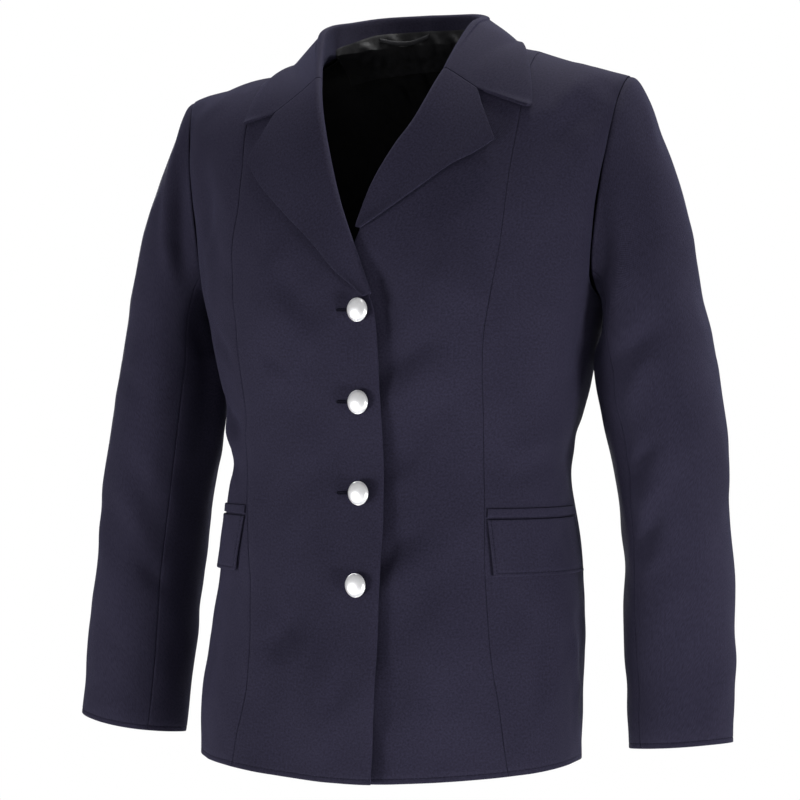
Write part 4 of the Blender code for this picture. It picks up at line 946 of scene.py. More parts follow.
def bordered(stack, edge, axis, end):
    """The stack of grids with the edge's lines put in along one border of it."""
    stack = np.moveaxis(stack, axis, 0)
    if end:
        stack = stack[::-1]
    distances, shares, sinks = edge
    length = lengths(stack[..., :3])
    every = np.arange(stack.shape[1])
    added = []
    for distance in distances:
        low = np.clip((length <= distance).sum(axis=0) - 1, 0, len(stack) - 2)
        here, start = stack[low, every], length[low, every]
        t = (distance - start) / np.maximum(length[low + 1, every] - start, LEAST_GAP)
        added.append(here + (stack[low + 1, every] - here) * t[:, None])
    keep = length.min(axis=1) > distances[-1] + EDGE_CLEAR
    added = np.array(added)
    added[..., 6] = np.minimum(added[..., 6], shares[:, None])
    added[..., 7] = np.maximum(added[..., 7], sinks[:, None])
    stack = np.concatenate([added, stack[keep]])
    if end:
        stack = stack[::-1]
    return np.moveaxis(stack, 0, axis)


def arc_lengths(points):
    """Lengths along the rows and along the columns of a grid, for laying the weave."""
    u = lengths(points, axis=1)
    return u - u.mean(axis=1, keepdims=True), lengths(points)


def mesh_object(name, points, faces, materials, uv=None, indices=None):
    mesh = bpy.data.meshes.new(name)
    mesh.from_pydata(points.tolist(), [], faces.tolist() if hasattr(faces, "tolist") else faces)
    for material in materials:
        mesh.materials.append(material)
    mesh.polygons.foreach_set("use_smooth", np.ones(len(mesh.polygons), bool))
    if indices is not None:
        mesh.polygons.foreach_set("material_index", indices)
    if uv is not None:
        layer = mesh.uv_layers.new(name="cloth")
        corner = np.empty(len(mesh.loops), np.int32)
        mesh.loops.foreach_get("vertex_index", corner)
        layer.data.foreach_set("uv", uv[corner].astype(np.float32).ravel())
    mesh.update()
    obj = bpy.data.objects.new(name, mesh)
    bpy.context.scene.collection.objects.link(obj)
    return obj


def quads(index):
    """The four-sided faces of a grid of point numbers."""
    corners = (index[:-1, :-1], index[:-1, 1:], index[1:, 1:], index[1:, :-1])
    return np.stack(corners, axis=-1).reshape(-1, 4)


def cloth_piece(name, side, middle, normal, cloth, edges, materials, put=on_side, turn_up=None):
    """A closed cloth wall about its middle surface, with rounded edges.

    edges are for the first and last row and the first and last column. Its outer face has the
    first material and its inner face the last, but for what is turned up at the first row
    ("first") or the last one ("last"). Returns its outer face and how far each point is sunk.
    """
    ones = np.ones(middle.shape[:2])[..., None]
    stack = np.concatenate([middle, normal, ones, 0 * ones], axis=-1)
    for edge, axis, end in zip(edges, (0, 0, 1, 1), (False, True, False, True)):
        stack = bordered(stack, edge, axis, end)
    points, normal = stack[..., :3], unit(stack[..., 3:6])
    half = stack[..., 6:7] * cloth / 2
    outer = points + normal * (half - stack[..., 7:8])
    inner = points - normal * half
    u, v = arc_lengths(points)
    uv = np.stack([side * u, v], axis=-1).reshape(-1, 2)
    far = u.size
    index = np.arange(far).reshape(u.shape)
    top = quads(index)
    low = quads(index + far)[:, ::-1]
    rim = np.concatenate([index[0, :-1], index[:-1, -1], index[-1, :0:-1], index[:0:-1, 0]])
    after = np.roll(rim, -1)
    sides = np.stack([after, rim, rim + far, after + far], axis=-1)
    faces = np.concatenate([top, low, sides])
    indices = np.zeros(len(faces), np.int32)
    inside = indices[len(top) : len(top) + len(low)]
    inside[:] = len(materials) - 1
    if turn_up:
        from_edge = v if turn_up == "first" else v[-1:] - v
        inside[from_edge.reshape(-1)[low[:, 0] - far] < TURN_UP] = 0
    every = np.concatenate([put(outer, side).reshape(-1, 3), put(inner, side).reshape(-1, 3)])
    a, b, c, d = np.moveaxis(every[faces], 1, 0)
    volume = np.sum(a * np.cross(b, c)) + np.sum(a * np.cross(c, d))
    if volume < 0:
        faces = faces[:, ::-1]
    mesh_object(name, every, faces, materials, np.concatenate([uv, uv]), indices)
    return put(outer, side), stack[..., 7]


def declared(obj, slot, *nodes):
    """Says that a piece rides on the jacket and hides the solids it replaces; the slot is not
    used.
    """
    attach(obj, "root")
    if nodes:
        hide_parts(*nodes)


def finish_cloth(name, nodes, slot):
    """Says that the named piece rides on the jacket and hides the solids it replaces; the slot is
    not used.
    """
    obj = bpy.data.objects[name]
    declared(obj, slot, *nodes)


def sunk_line(sinks, axis, end):
    """Index of the line where the stitching is sunk, nearest one border."""
    line = sinks.take(sinks.shape[1 - axis] // 2, axis=1 - axis)
    sunk = np.flatnonzero(line >= STITCH_SINK * SUNK_SHARE)
    return sunk[-1] if end else sunk[0]


def ring_points(centre, aside, up, wide, high, sides):
    """Rings of points about their centres, each this wide and high in its own two directions."""
    angle = np.arange(sides) * 2 * pi / sides
    across = aside[..., None, :] * (wide[..., None] * np.cos(angle))[..., None]
    upward = up[..., None, :] * (high[..., None] * np.sin(angle))[..., None]
    return centre[..., None, :] + across + upward


def stitches(name, path, normals, material):
    """A row of short threads lying in the cloth along a path."""
    at = lengths(path)
    count = int(at[-1] // (STITCH_LENGTH + STITCH_GAP))
    starts = (np.arange(count) + 0.5) * at[-1] / count - STITCH_LENGTH / 2
    stations = starts[:, None] + STITCH_LENGTH * STITCH_PLACES[None, :]
    sizes = np.broadcast_to(STITCH_RADIUS * STITCH_THICK, stations.shape)
    place = on_line(stations, at, path)
    up = unit(on_line(stations, at, normals))
    aside = unit(np.cross(unit(np.gradient(place, axis=1)), up))
    place = place + up * (STITCH_RADIUS * STITCH_LIFT)[None, :, None]
    ring = ring_points(place, aside, up, sizes, sizes, STITCH_SIDES)
    per = len(STITCH_THICK) * STITCH_SIDES
    index = np.arange(per).reshape(-1, STITCH_SIDES)
    after = np.roll(index, -1, axis=1)
    one = np.stack([index[:-1], after[:-1], after[1:], index[1:]], axis=-1).reshape(-1, 4)
    base = np.arange(count)[:, None, None] * per
    faces = (one[None] + base).reshape(-1, 4).tolist()
    for first in range(0, count * per, per):
        faces.append(list(range(first + STITCH_SIDES - 1, first - 1, -1)))
        faces.append(list(range(first + per - STITCH_SIDES, first + per)))
    declared(mesh_object(name, ring.reshape(-1, 3), faces, [material]), "navy_twill")


# Body


def fresh_normals(face, like):
    """Normals of a grid of points as it lies now, on the same side as the given ones."""
    normal = grid_normals(face)
    return normal * np.sign(np.sum(normal * like, axis=-1, keepdims=True))


def body_piece(name, side, grid, materials, edges, lifted):
    turn, height = inset(*grid, SEAM_CLOSE / 2)
    face = body_point(turn, height)
    normal = body_normal(turn, height)
    rise = body_relief(side, face)
    if lifted:
        rise = rise + front_lift(side, face[..., 0], face[..., 2])
    face = face + normal * rise[..., None]
    fresh = fresh_normals(face, normal)
    middle = face - fresh * CLOTH / 2
    outer, sinks = cloth_piece(
        f"cloth_{name}", side, middle, fresh, CLOTH, edges, materials, on_body, "first"
    )
    return middle, outer, sinks


def side_columns(left, height, front, columns):
    """Turns between an inner seam and the side seam and armhole.

    The columns next to the armhole follow its underarm, and those further in pass it smoothly.
    """
    edge = armhole_turn(front)
    share = np.linspace(0, 1, columns + 1)[None, :]
    low, high = edge(ARMHOLE[1][0]), edge(UNDERARM_END)
    past = low + (high - low) * fade(height, UNDERARM_START, UNDERARM_END)
    past = np.where(height < UNDERARM_END, past, edge(height))
    return left + (past - left) * share + (edge(height) - past) * share**UNDERARM_POWER


def front_grid(side):
    height = refined(ROW_HEIGHTS, GRID)[:, None]
    left, right = seam_turn(FRONT_EDGE, side)(height), seam_turn(PRINCESS, side)(height)
    turn = left + (right - left) * np.linspace(0, 1, FRONT_COLUMNS + 1)[None, :]
    return turn, hem_drop(turn, np.broadcast_to(height, turn.shape))


def side_grid(side):
    height = refined(ROW_HEIGHTS, GRID)[:, None]
    turn = side_columns(seam_turn(PRINCESS, side)(height), height, True, SIDE_COLUMNS)
    return turn, hem_drop(turn, np.broadcast_to(height, turn.shape))


def back_grid(rows, share=1.0, columns=BACK_COLUMNS):
    """Turns and heights of the back from its centre seam to a share of the way to the side."""
    height = np.asarray(rows, float)[:, None]
    turn = side_columns(np.full(height.shape, pi), height, False, columns)
    turn = turn[:, : int(round(columns * share)) + 1]
    climb = np.clip((height - CHEST_Z) / (ROW_HEIGHTS[-1] - CHEST_Z), 0, 1)
    above = CHEST_Z + climb * (neck_height(turn) - CHEST_Z)
    return turn, hem_drop(turn, np.where(height < CHEST_Z, height, above))


def hem_stitching(name, outer, sinks, material):
    """Stitching along the sunk line above the hem."""
    row = sunk_line(sinks, 0, False)
    path = outer[row]
    normal = grid_normals(outer)[row]
    away = path - np.array(BODY_MIDDLE)
    away[:, 2] = 0
    normal = normal * np.sign(np.sum(normal * away, axis=-1, keepdims=True))
    stitches(name, path, normal, material)


def make_body(side, word, navy, black, thread):
    seam = round_edge(CLOTH)
    edges = (round_edge(CLOTH, HEM_STITCH), seam, seam, seam)
    for kind, grid, materials in (
        ("front", front_grid(side), (navy,)),
        ("side_front", side_grid(side), (navy, black)),
        ("back", back_grid(refined(ROW_HEIGHTS, GRID)), (navy, black)),
    ):
        name = f"{kind}_{word}"
        middle, outer, sinks = body_piece(name, side, grid, materials, edges, kind == "front")
        finish_cloth(f"cloth_{name}", [name], "navy_twill")
        hem_stitching(f"hem_stitches_{name}", outer, sinks, thread)


def make_sleeve(side, word, navy, black, thread):
    seam = round_edge(CLOTH)
    edges = (seam, round_edge(CLOTH, HEM_STITCH), seam, seam)
    ways = np.concatenate([refined(CAP_WAYS, CAP_GRID), 1 + np.linspace(0, 1, ARM_ROWS)])
    spans = {
        "upper": np.linspace(SLEEVE_SEAM_BACK - 360, SLEEVE_SEAM_FRONT, UPPER_COLUMNS),
        "under": np.linspace(SLEEVE_SEAM_FRONT, SLEEVE_SEAM_BACK, UNDER_COLUMNS),
    }
    for kind, spins in spans.items():
        spin, way = np.meshgrid(spins, ways)
        behind = sleeve_point(spin - SPIN_STEP, way, side)
        chord = sleeve_point(spin + SPIN_STEP, way, side) - behind
        degree = 2 * SPIN_STEP / np.maximum(np.linalg.norm(chord, axis=-1), LEAST_CHORD)
        spin[:, 0] += SEAM_CLOSE / 2 * degree[:, 0]
        spin[:, -1] -= SEAM_CLOSE / 2 * degree[:, -1]
        face = sleeve_point(spin, way, side)
        lower = sleeve_point(spin, np.minimum(way + WAY_STEP, 2), side)
        higher = sleeve_point(spin, np.maximum(way - WAY_STEP, 0), side)
        normal = unit(np.cross(chord, lower - higher))
        face = face + normal * sleeve_relief(side, spin, way, face)[..., None]
        fresh = fresh_normals(face, normal)
        middle = face - fresh * CLOTH / 2
        name = f"sleeve_{kind}_{word}"
        outer, sinks = cloth_piece(
            f"cloth_{name}", side, middle, fresh, CLOTH, edges, (navy, black), on_side, "last"
        )
        finish_cloth(f"cloth_{name}", [name], "navy_twill")
        row = sunk_line(sinks, 0, True)
        path = outer[row]
        normals = grid_normals(outer)[row]
        centre = path.mean(axis=0)
        if kind == "under":
            centre = centre + np.array((side * UNDER_MIDDLE, 0, 0))
        sign = np.sign(np.sum(normals * (path - centre)))
        stitches(f"cuff_stitches_{kind}_{word}", path, normals * sign, thread)


# Lapels and collar


def roll_section(roll, toward, radius, inward):
    """Distances from the roll line and heights off the face, round a fold: return, then roll."""
    middle = -CLOTH / 2
    back = radius + inward * np.linspace(1.0, RETURN_END, RETURN_STEPS)
    distance = np.concatenate([back, radius - radius * np.cos(BEND)])
    lowest = np.full(RETURN_STEPS, middle - radius)
    offset = np.concatenate([lowest, middle + radius * np.sin(BEND)])
    return roll[None, :] + toward[None, :] * distance[:, None], offset


def tip_shares(rows):
    """Even shares from 0 to 1 with the last step in finer ones, for a rounded tip."""
    even = np.linspace(0, 1, rows + 1)
    return np.concatenate([even[:-1], np.linspace(even[-2], 1, TIP_ROWS + 1)[1:]])


def rounded_tip(rows, radius):
    """Rows of leaves, each drawn back at its outer end where it nears the last one."""
    leaves = rows[:, -LEAF_STEPS - 1 :]
    apart = np.linalg.norm(leaves[:, -1] - leaves[-1, -1], axis=-1)
    reach = np.sqrt(np.maximum(radius**2 - (radius - apart) ** 2, 0))
    back = np.where(apart < radius, radius - reach, 0)
    done = rows.copy()
    for k in np.nonzero(back)[0]:
        at = lengths(leaves[k])
        done[k, -LEAF_STEPS - 1 :] = on_line(at * (1 - back[k] / at[-1]), at, leaves[k])
    return done


def gorge_leaf(side, corner):
    """The leaf's row along the gorge seam to the notch, then along the free edge to a corner."""
    roll = np.array(RIGHT_LAPEL[-1][1:3])
    notch = np.array(LEFT_NOTCH if side > 0 else RIGHT_NOTCH)
    radius = RIGHT_LAPEL[-1][5]
    toward = unit(notch - roll)
    start = roll + toward * radius
    half = LEAF_STEPS // 2
    steps = (np.arange(1, half + 1) / half)[:, None]
    leaf = np.concatenate([start + (notch - start) * steps, notch + (corner - notch) * steps])
    return roll, toward, radius, leaf


def turned_over(side, spots, offset, leaf, radius):
    """Points over the body of a row that rolls, then lies down over it out to its edge."""
    raised = -CLOTH / 2 + radius
    lying = raised + (LEAF_CLEAR - raised) * ease(LEAF * LEAF_FALL) + LEAF_LIFT * LEAF**3
    spots = np.concatenate([spots, leaf])
    return over_body(side, spots[:, 0], spots[:, 1], np.concatenate([offset, lying]))


def gorge_frame(row):
    """The way across the gorge seam, from lapel to collar, and the row's normals."""
    roll = row[RETURN_STEPS + BEND_STEPS // 2]
    notch = row[RETURN_STEPS + BEND_STEPS + LEAF_STEPS // 2]
    along = unit(notch - roll)
    face = body_normal(*body_place(*RIGHT_LAPEL[-1][1:3]))
    across = unit(np.cross(face, along))
    return across, unit(np.cross(np.gradient(row, axis=0), across))


def make_lapel(side, word, navy):
    rows_of = LEFT_LAPEL if side > 0 else RIGHT_LAPEL
    top_roll, top_toward, _, top_leaf = gorge_leaf(side, rows_of[-1][3:5])
    straight = top_roll + top_toward * rows_of[-1][5]
    bend = top_leaf - (straight + (top_leaf[-1] - straight) * LEAF[:, None])
    grid = []
    for t in tip_shares(LAPEL_ROWS):
        *ends, radius, inward = columns_of(rows_of, "share", t, rows_of[0][1:])
        roll, edge = np.array(ends[:2]), np.array(ends[2:])
        to_edge = unit(edge - roll)
        toward = unit(to_edge + (top_toward - to_edge) * ease(2 * t - 1))
        spots, offset = roll_section(roll, toward, radius, inward)
        start = roll + toward * radius
        leaf = start + (edge - start) * LEAF[:, None] + bend * t**3
        grid.append(turned_over(side, spots, offset, leaf, radius))
    middle = rounded_tip(np.array(grid), LAPEL_TIP_ROUND)
    normal = grid_normals(middle)
    across, normal[-1] = gorge_frame(middle[-1])
    middle[-1] -= across * GORGE_GAP
    seam = round_edge(CLOTH)
    name = f"lapel_{word}"
    cloth_piece(f"cloth_{name}", side, middle, normal, CLOTH, (seam,) * 4, (navy,))
    finish_cloth(f"cloth_{name}", [name], "navy_twill")


def smoothed(rows):
    """The rows with each drawn towards its neighbours, but for the first and the last."""
    rows = rows.copy()
    for _ in range(STAND_SMOOTHING):
        rows[1:-1] = (rows[:-2] + 2 * rows[1:-1] + rows[2:]) / 4
    return rows


def stand_lines(side):
    """Shares along the collar, with the neckline's points and frame, its foot and its fold."""
    word = side_word(side)
    shares = tip_shares(COLLAR_COLUMNS)
    place = columns_of(COLLAR, "share", shares, ("neck_x", "neck_z"))
    fold = columns_of(COLLAR, "share", shares, (f"{word}_x", "fold_y", f"{word}_z"))
    fold = np.stack(fold, axis=-1)
    back, front = body_place(*place, front=False), body_place(*place, front=True)
    turn, height = (np.where(shares < SHOULDER_SHARE, *pair) for pair in zip(back, front))
    neck = smoothed(body_point(turn, height, bust=False))
    normal = unit(smoothed(body_normal(turn, height)))
    away = unit(np.cross(unit(np.gradient(neck, axis=0)), normal))
    away = away * np.sign(np.sum(away * (neck - fold.mean(axis=0)), axis=-1))[:, None]
    bottom = neck - away * STAND_CLEAR - normal * STAND_INSIDE
    return shares, away, bottom, fold


def collar_half(side):
    """Mid-surface rows of one side of the collar, on the left, from centre back to the gorge."""
    shares, away, bottom, fold = stand_lines(side)
    edge = columns_of(COLLAR_EDGE, "share", shares, (f"{side_word(side)}_x", "y", "z"))
    edge = np.stack(edge, axis=-1)
    low = bottom + away * STAND_FOOT
    point = LEFT_COLLAR_POINT if side > 0 else RIGHT_COLLAR_POINT
    roll, toward, radius, leaf = gorge_leaf(side, point)
    spots, offset = roll_section(roll, toward, radius, RIGHT_LAPEL[-1][6])
    end_row = turned_over(side, spots, offset, leaf, radius)
    fold_run = unit(np.gradient(fold, shares, axis=0))
    bend = BEND[:, None]
    rise = np.linspace(0, 1, RETURN_STEPS)[:-1, None]
    hollow = np.sin(pi * LEAF)[:, None] * LEAF_HOLLOW
    rows = []
    for k, s in enumerate(shares):
        down = unit(bottom[k] - fold[k])
        out = np.cross(down, fold_run[k])
        out = unit(out * np.sign(np.dot(out, edge[k] - bottom[k])))
        centre = fold[k] + down * COLLAR_FOLD_RADIUS
        round_fold = centre + COLLAR_FOLD_RADIUS * (out * np.sin(bend) - down * np.cos(bend))
        stand = bottom[k] + (round_fold[0] - bottom[k]) * rise
        leaf = round_fold[-1] + (edge[k] - round_fold[-1]) * LEAF[:, None] + out * hollow
        row = np.concatenate([low[k][None], stand, round_fold, leaf])
        blend = fade(s, GORGE_START, 1)
        row = row + (end_row - row) * blend
        if blend < 1:
            clear = LEAF_CLEAR + LEAF_EXTRA * (1 - blend)
            row[-LEAF_STEPS:] = kept_off(row[-LEAF_STEPS:], clear)
        rows.append(row)
    rows = rounded_tip(np.array(rows), LEFT_TIP_ROUND if side > 0 else RIGHT_TIP_ROUND)
    across, end_normal = gorge_frame(rows[-1])
    rows[-1] += across * GORGE_GAP
    return rows, end_normal


def make_collar(navy):
    left, left_end = collar_half(1)
    right, right_end = collar_half(-1)
    middle = np.concatenate([flipped(right[:0:-1]), left])
    normal = -grid_normals(middle)
    normal[-1] = left_end
    normal[0] = flipped(right_end)
    seam = round_edge(CLOTH)
    cloth_piece("cloth_collar", 1, middle, normal, CLOTH, (seam,) * 4, (navy,))
    finish_cloth("cloth_collar", ["collar"], "navy_twill")


# Lining, pockets, loop


def satin_wrinkles(side, points):
    """Small folds of the satin under the neck, pointing into the jacket."""
    x, z = side * points[..., 0], points[..., 2]
    near = fade(z, SATIN_LOW, SATIN_HIGH)
    total = np.zeros(np.shape(x))
    for x0, z0, x1, z1, width, depth in SATIN_FOLDS:
        start, step = np.array((x0, z0)), np.array((x1 - x0, z1 - z0))
        rel = np.stack([x, z], axis=-1) - start
        t = np.clip(rel @ step / (step @ step), 0, 1)
        gap = np.linalg.norm(rel - t[..., None] * step, axis=-1)
        ends = ease(t / SATIN_FADE) * ease((1 - t) / SATIN_FADE)
        total = total + depth * ends * np.exp(-((gap / width) ** 2))
    sag = 0.5 + 0.5 * np.sin(2 * pi * (x / SAG_ACROSS + z / SAG_DOWN))
    return near * total + SATIN_SAG * sag


def across_back(left, right):
    """One grid from side to side, of two halves that are both drawn on the left."""
    return np.concatenate([flipped(right[:, :0:-1]), left], axis=1)


def make_lining(black):
    low, top = HEM_Z + LINING_HEM, ROW_HEIGHTS[-1] - LINING_TOP
    rows = refined(ROW_HEIGHTS, GRID)
    rows = rows[(rows > low + LINING_CLEAR) & (rows < top - LINING_CLEAR)]
    rows = np.array([low, *rows, top])
    turn, height = back_grid(rows, LINING_SHARE)
    height = np.where(rows[:, None] < HEM_STILL_Z, rows[:, None], height)
    face = body_point(turn, height)
    normal = body_normal(turn, height)
    normal[:, 0, 0] = 0
    halves = []
    for side in (1, -1):
        relief = np.minimum(body_relief(side, face), 0.0)
        creased = satin_wrinkles(side, face)
        halves.append(face + normal * (relief - LINING_DEPTH - LINING / 2 - creased)[..., None])
    middle = across_back(*halves)
    name, edges = "satin_back_lining", (round_edge(LINING),) * 4
    cloth_piece(name, 1, middle, grid_normals(middle), LINING, edges, (black,), on_body)
    finish_cloth(name, ["back_lining"], "black_satin")


def facing_half(side):
    """Rows of one side of the neck facing, on the left: down the stand, then inside the back."""
    along = tip_shares(COLLAR_COLUMNS)
    along = along[along <= FACING_SHARE]
    rows = collar_half(side)[0][: len(along)]
    foot, head = rows[:, 1], rows[:, RETURN_STEPS]
    inward = unit(np.cross(np.gradient(foot, axis=0), unit(head - foot)))
    inward = inward * np.sign(np.sum(inward * (FACING_MIDDLE - foot), axis=-1))[:, None]
    top = FACING_LEAST + (FACING_UP - FACING_LEAST) * (1 - fade(along, FACING_FALL, FACING_SHARE))
    shares = np.linspace(1, 0, FACING_ROWS)[:, None] * top[None, :]
    on_stand = foot[None] + (head - foot)[None] * shares[..., None]
    slackened = np.sqrt(np.linspace(0, 1, FACING_ROWS))[:, None]
    loose = FACING_LOOSE * slackened * satin_wrinkles(side, on_stand)
    off = CLOTH / 2 + FACING_OFF + FACING_CLOTH / 2 + loose
    on_stand = on_stand + inward[None] * off[..., None]
    neck_x, neck_z = columns_of(COLLAR, "share", along, ("neck_x", "neck_z"))
    drops = np.linspace(FACING_DROP_START, FACING_DROP, DROP_ROWS)[:, None]
    turn, height = body_place(neck_x[None] + 0 * drops, neck_z[None] - drops, front=False)
    face = body_point(turn, height)
    depth = LINING_DEPTH + LINING + FACING_LINING + FACING_CLOTH / 2
    relief = np.minimum(body_relief(side, face), 0.0)
    creased = FACING_LOOSE * satin_wrinkles(side, face)
    below = face + body_normal(turn, height) * (relief - depth - creased)[..., None]
    half = np.concatenate([on_stand, below])
    half[:, 0, 0] = 0
    return half


def make_neck_facing(shaded_grey):
    """Satin over the lower part of the collar's stand and down over the top of the lining."""
    # Its satin is a darker copy of the loop's grey satin: painted shade inside the neck.
    middle = across_back(facing_half(1), facing_half(-1))
    name, edges = "satin_neck_facing", (round_edge(FACING_CLOTH),) * 4
    cloth_piece(name, 1, middle, grid_normals(middle), FACING_CLOTH, edges, (shaded_grey,))
    finish_cloth(name, [], "black_satin")


def pocket_grid(side, top_z, tall, slant, columns, rows):
    down = np.linspace(0, 1, rows + 1)[:, None]
    share = np.linspace(0, 1, columns + 1)[None, :]
    z = top_z - tall * down
    seam_x = column(PRINCESS, "z", FLAP_TOP_Z, f"{side_word(side)}_x")
    start, _ = body_place(seam_x + FLAP_FROM_SEAM + slant * down, z)
    turn = start + (radians(FLAP_END_TURN) + FLAP_END_LEAN * down - start) * share
    return turn, z + 0 * turn


def make_pocket(side, word, navy, thread):
    sewn, seam = round_edge(CLOTH, FLAP_STITCH), round_edge(CLOTH)
    flap = (FLAP_TOP_Z, FLAP_HEIGHT, FLAP_SLANT, FLAP_COLUMNS, FLAP_ROWS)
    welt = (WELT_TOP_Z, WELT_HEIGHT, 0.0, FLAP_COLUMNS, WELT_ROWS)
    plain = (round_edge(WELT_CLOTH),) * 4
    make_pocket_piece(side, f"pocket_welt_{word}", welt, WELT_CLOTH, 0.0, plain, navy)
    outer, sinks = make_pocket_piece(
        side, f"pocket_flap_{word}", flap, CLOTH, FLAP_STAND, (seam, sewn, sewn, sewn), navy
    )
    low = sunk_line(sinks, 0, True)
    first, last = sunk_line(sinks, 1, False), sunk_line(sinks, 1, True)
    normals = grid_normals(outer)
    normals = -normals * np.sign(np.sum(normals[..., 1]))
    for part, line in (
        ("front", (slice(low + 1), first)),
        ("foot", (low, slice(first, last + 1))),
        ("back", (slice(low + 1), last)),
    ):
        stitches(f"flap_stitches_{part}_{word}", outer[line], normals[line], thread)


def make_pocket_piece(side, name, shape, thick, foot, edges, navy):
    """A piece laid on the side front, its lower end standing off a little."""
    turn, height = pocket_grid(side, *shape)
    face = body_point(turn, height)
    normal = body_normal(turn, height)
    down = np.linspace(0, 1, len(face))[:, None]
    rise = body_relief(side, face) + LAY_GAP + foot * down**2 + thick / 2
    middle = face + normal * rise[..., None]
    fresh = fresh_normals(middle, normal)
    outer, sinks = cloth_piece(
        f"cloth_{name}", side, middle, fresh, thick, edges, (navy,), on_body
    )
    finish_cloth(f"cloth_{name}", [name], "navy_twill")
    return outer, sinks


def make_loop(grey):
    rows, _ = collar_half(-1)
    foot, head = rows[:, 1], rows[:, RETURN_STEPS]
    seat_line = foot + (head - foot) * LOOP_SEAT
    t = np.linspace(-1, 1, LOOP_COLUMNS)
    x = LOOP_X + LOOP_HALF * t
    seat, up = (on_line(x, seat_line[:, 0], line) for line in (seat_line, unit(head - foot)))
    inward = unit(np.cross(np.gradient(seat, axis=0), up))
    loose = (1 - t**2)[:, None]
    off = CLOTH / 2 + LOOP_GAP + LOOP_BOW * loose
    path = seat + inward * off - up * LOOP_DROP * loose
    across = np.linspace(-0.5, 0.5, LOOP_ROWS)[:, None, None]
    crown = (1 - (2 * across) ** 2) * LOOP_CROWN
    middle = path[None] + up[None] * across * LOOP_WIDTH + inward[None] * (LOOP_CLOTH / 2 + crown)
    normal = grid_normals(middle)
    normal = normal * np.sign(np.sum(normal * inward[None]))
    name, edges = "satin_hanger_loop", (round_edge(LOOP_CLOTH),) * 4
    cloth_piece(name, -1, middle, normal, LOOP_CLOTH, edges, (grey,))
    finish_cloth(name, ["hanger_loop"], "black_satin")


# Buttons and buttonholes


def button_frame(z):
    """Centre of the button's back and its axis, on the wearer's right front at centre front."""
    turn, height = body_place(BUTTON_X, z)
    lift = float(front_lift(-1, -BUTTON_X, z))
    face = body_point(turn, height) + body_normal(turn, height) * lift
    tilt = radians(BUTTON_TILT)
    axis = np.array((-sin(tilt), -cos(tilt), 0.0))
    return face + axis * BUTTON_STAND, axis


def make_button(number, z, silver):
    """A plain domed shank button, turned."""
    rim, radius = BUTTON_RIM, BUTTON_RADIUS
    foot = SHANK_GAP - BUTTON_STAND
    profile = []
    for k in range(1, DOME_STEPS + 1):
        bend = radians(DOME_DEGREES * k / DOME_STEPS)
        profile.append((radius * sin(bend) * DOME_SHARE, rim + BUTTON_DOME * cos(bend)))
    profile += [(radius * share, rim * tall) for share, tall in BUTTON_EDGE]
    profile += [(radius * BACK_SHARE, BACK_SINK), (SHANK_RADIUS * SHANK_FLARE, FLARE_SINK)]
    profile += [(SHANK_RADIUS, SHANK_SINK), (SHANK_RADIUS, foot)]
    steps = BUTTON_STEPS
    centre, axis = button_frame(z)
    aside = unit(np.cross(axis, np.array((0.0, 0.0, 1.0))))
    upward = np.cross(aside, axis)
    points = [centre + axis * (rim + BUTTON_DOME)]
    for r, h in profile:
        for a in np.arange(steps) * 2 * pi / steps:
            points.append(centre + axis * h + (aside * cos(a) + upward * sin(a)) * r)
    points.append(centre + axis * foot)
    last = 1 + (len(profile) - 1) * steps
    faces = []
    for k in range(steps):
        after = (k + 1) % steps
        faces.append([0, 1 + k, 1 + after])
        for ring in range(1, last, steps):
            a, b = ring + k, ring + after
            faces.append([a, a + steps, b + steps, b])
        faces.append([len(points) - 1, last + after, last + k])
    obj = mesh_object(f"silver_button_{number}", np.array(points), faces, [silver])
    declared(obj, "silvered_metal", f"button_{number}")


def front_point(x, z, off):
    """Points over the wearer's right front, at its own x and z, this far off its face."""
    return on_body(over_body(-1, x, z, off), -1)


def hole_path():
    """Places round a buttonhole by x and height, and how far along it each one is."""
    run, half = HOLE_END - HOLE_START, HOLE_TALL / 2
    bend = pi * half
    around = 2 * (run + bend)
    count = int(around / HOLE_STEP)
    s = np.arange(count) / count * around
    places = []
    for value in s:
        if value < run:
            places.append((HOLE_START + value, half))
        elif value < run + bend:
            a = (value - run) / half
            places.append((HOLE_END + sin(a) * half, cos(a) * half))
        elif value < 2 * run + bend:
            places.append((HOLE_END - (value - run - bend), -half))
        else:
            a = (value - 2 * run - bend) / half
            places.append((HOLE_START - sin(a) * half, -cos(a) * half))
    return *np.transpose(places), s


def make_purl(number, z, thread):
    """Purl stitches round a buttonhole in the right front."""
    x, up, s = hole_path()
    centre = front_point(x, z + up, HOLE_OVER)
    along = unit(np.roll(centre, -1, axis=0) - np.roll(centre, 1, axis=0))
    face = unit(front_point(x, z + up, HOLE_OUT) - front_point(x, z + up, 0.0))
    aside = unit(np.cross(along, face))
    ribs = 1 + RIB_DEEP * np.sin(2 * pi * s / RIB_LONG)
    wide, high = HOLE_PURL * ribs, HOLE_PURL * HOLE_FLAT * ribs
    ring = ring_points(centre, aside, face, wide, high, HOLE_SIDES).reshape(-1, 3)
    index = np.arange(len(ring)).reshape(-1, HOLE_SIDES)
    corners = [np.roll(index, by, axis=(0, 1)) for by in ((0, 0), (0, -1), (-1, -1), (-1, 0))]
    faces = np.stack(corners, axis=-1).reshape(-1, 4)
    declared(mesh_object(f"buttonhole_stitches_{number}", ring, faces, [thread]), "navy_twill")


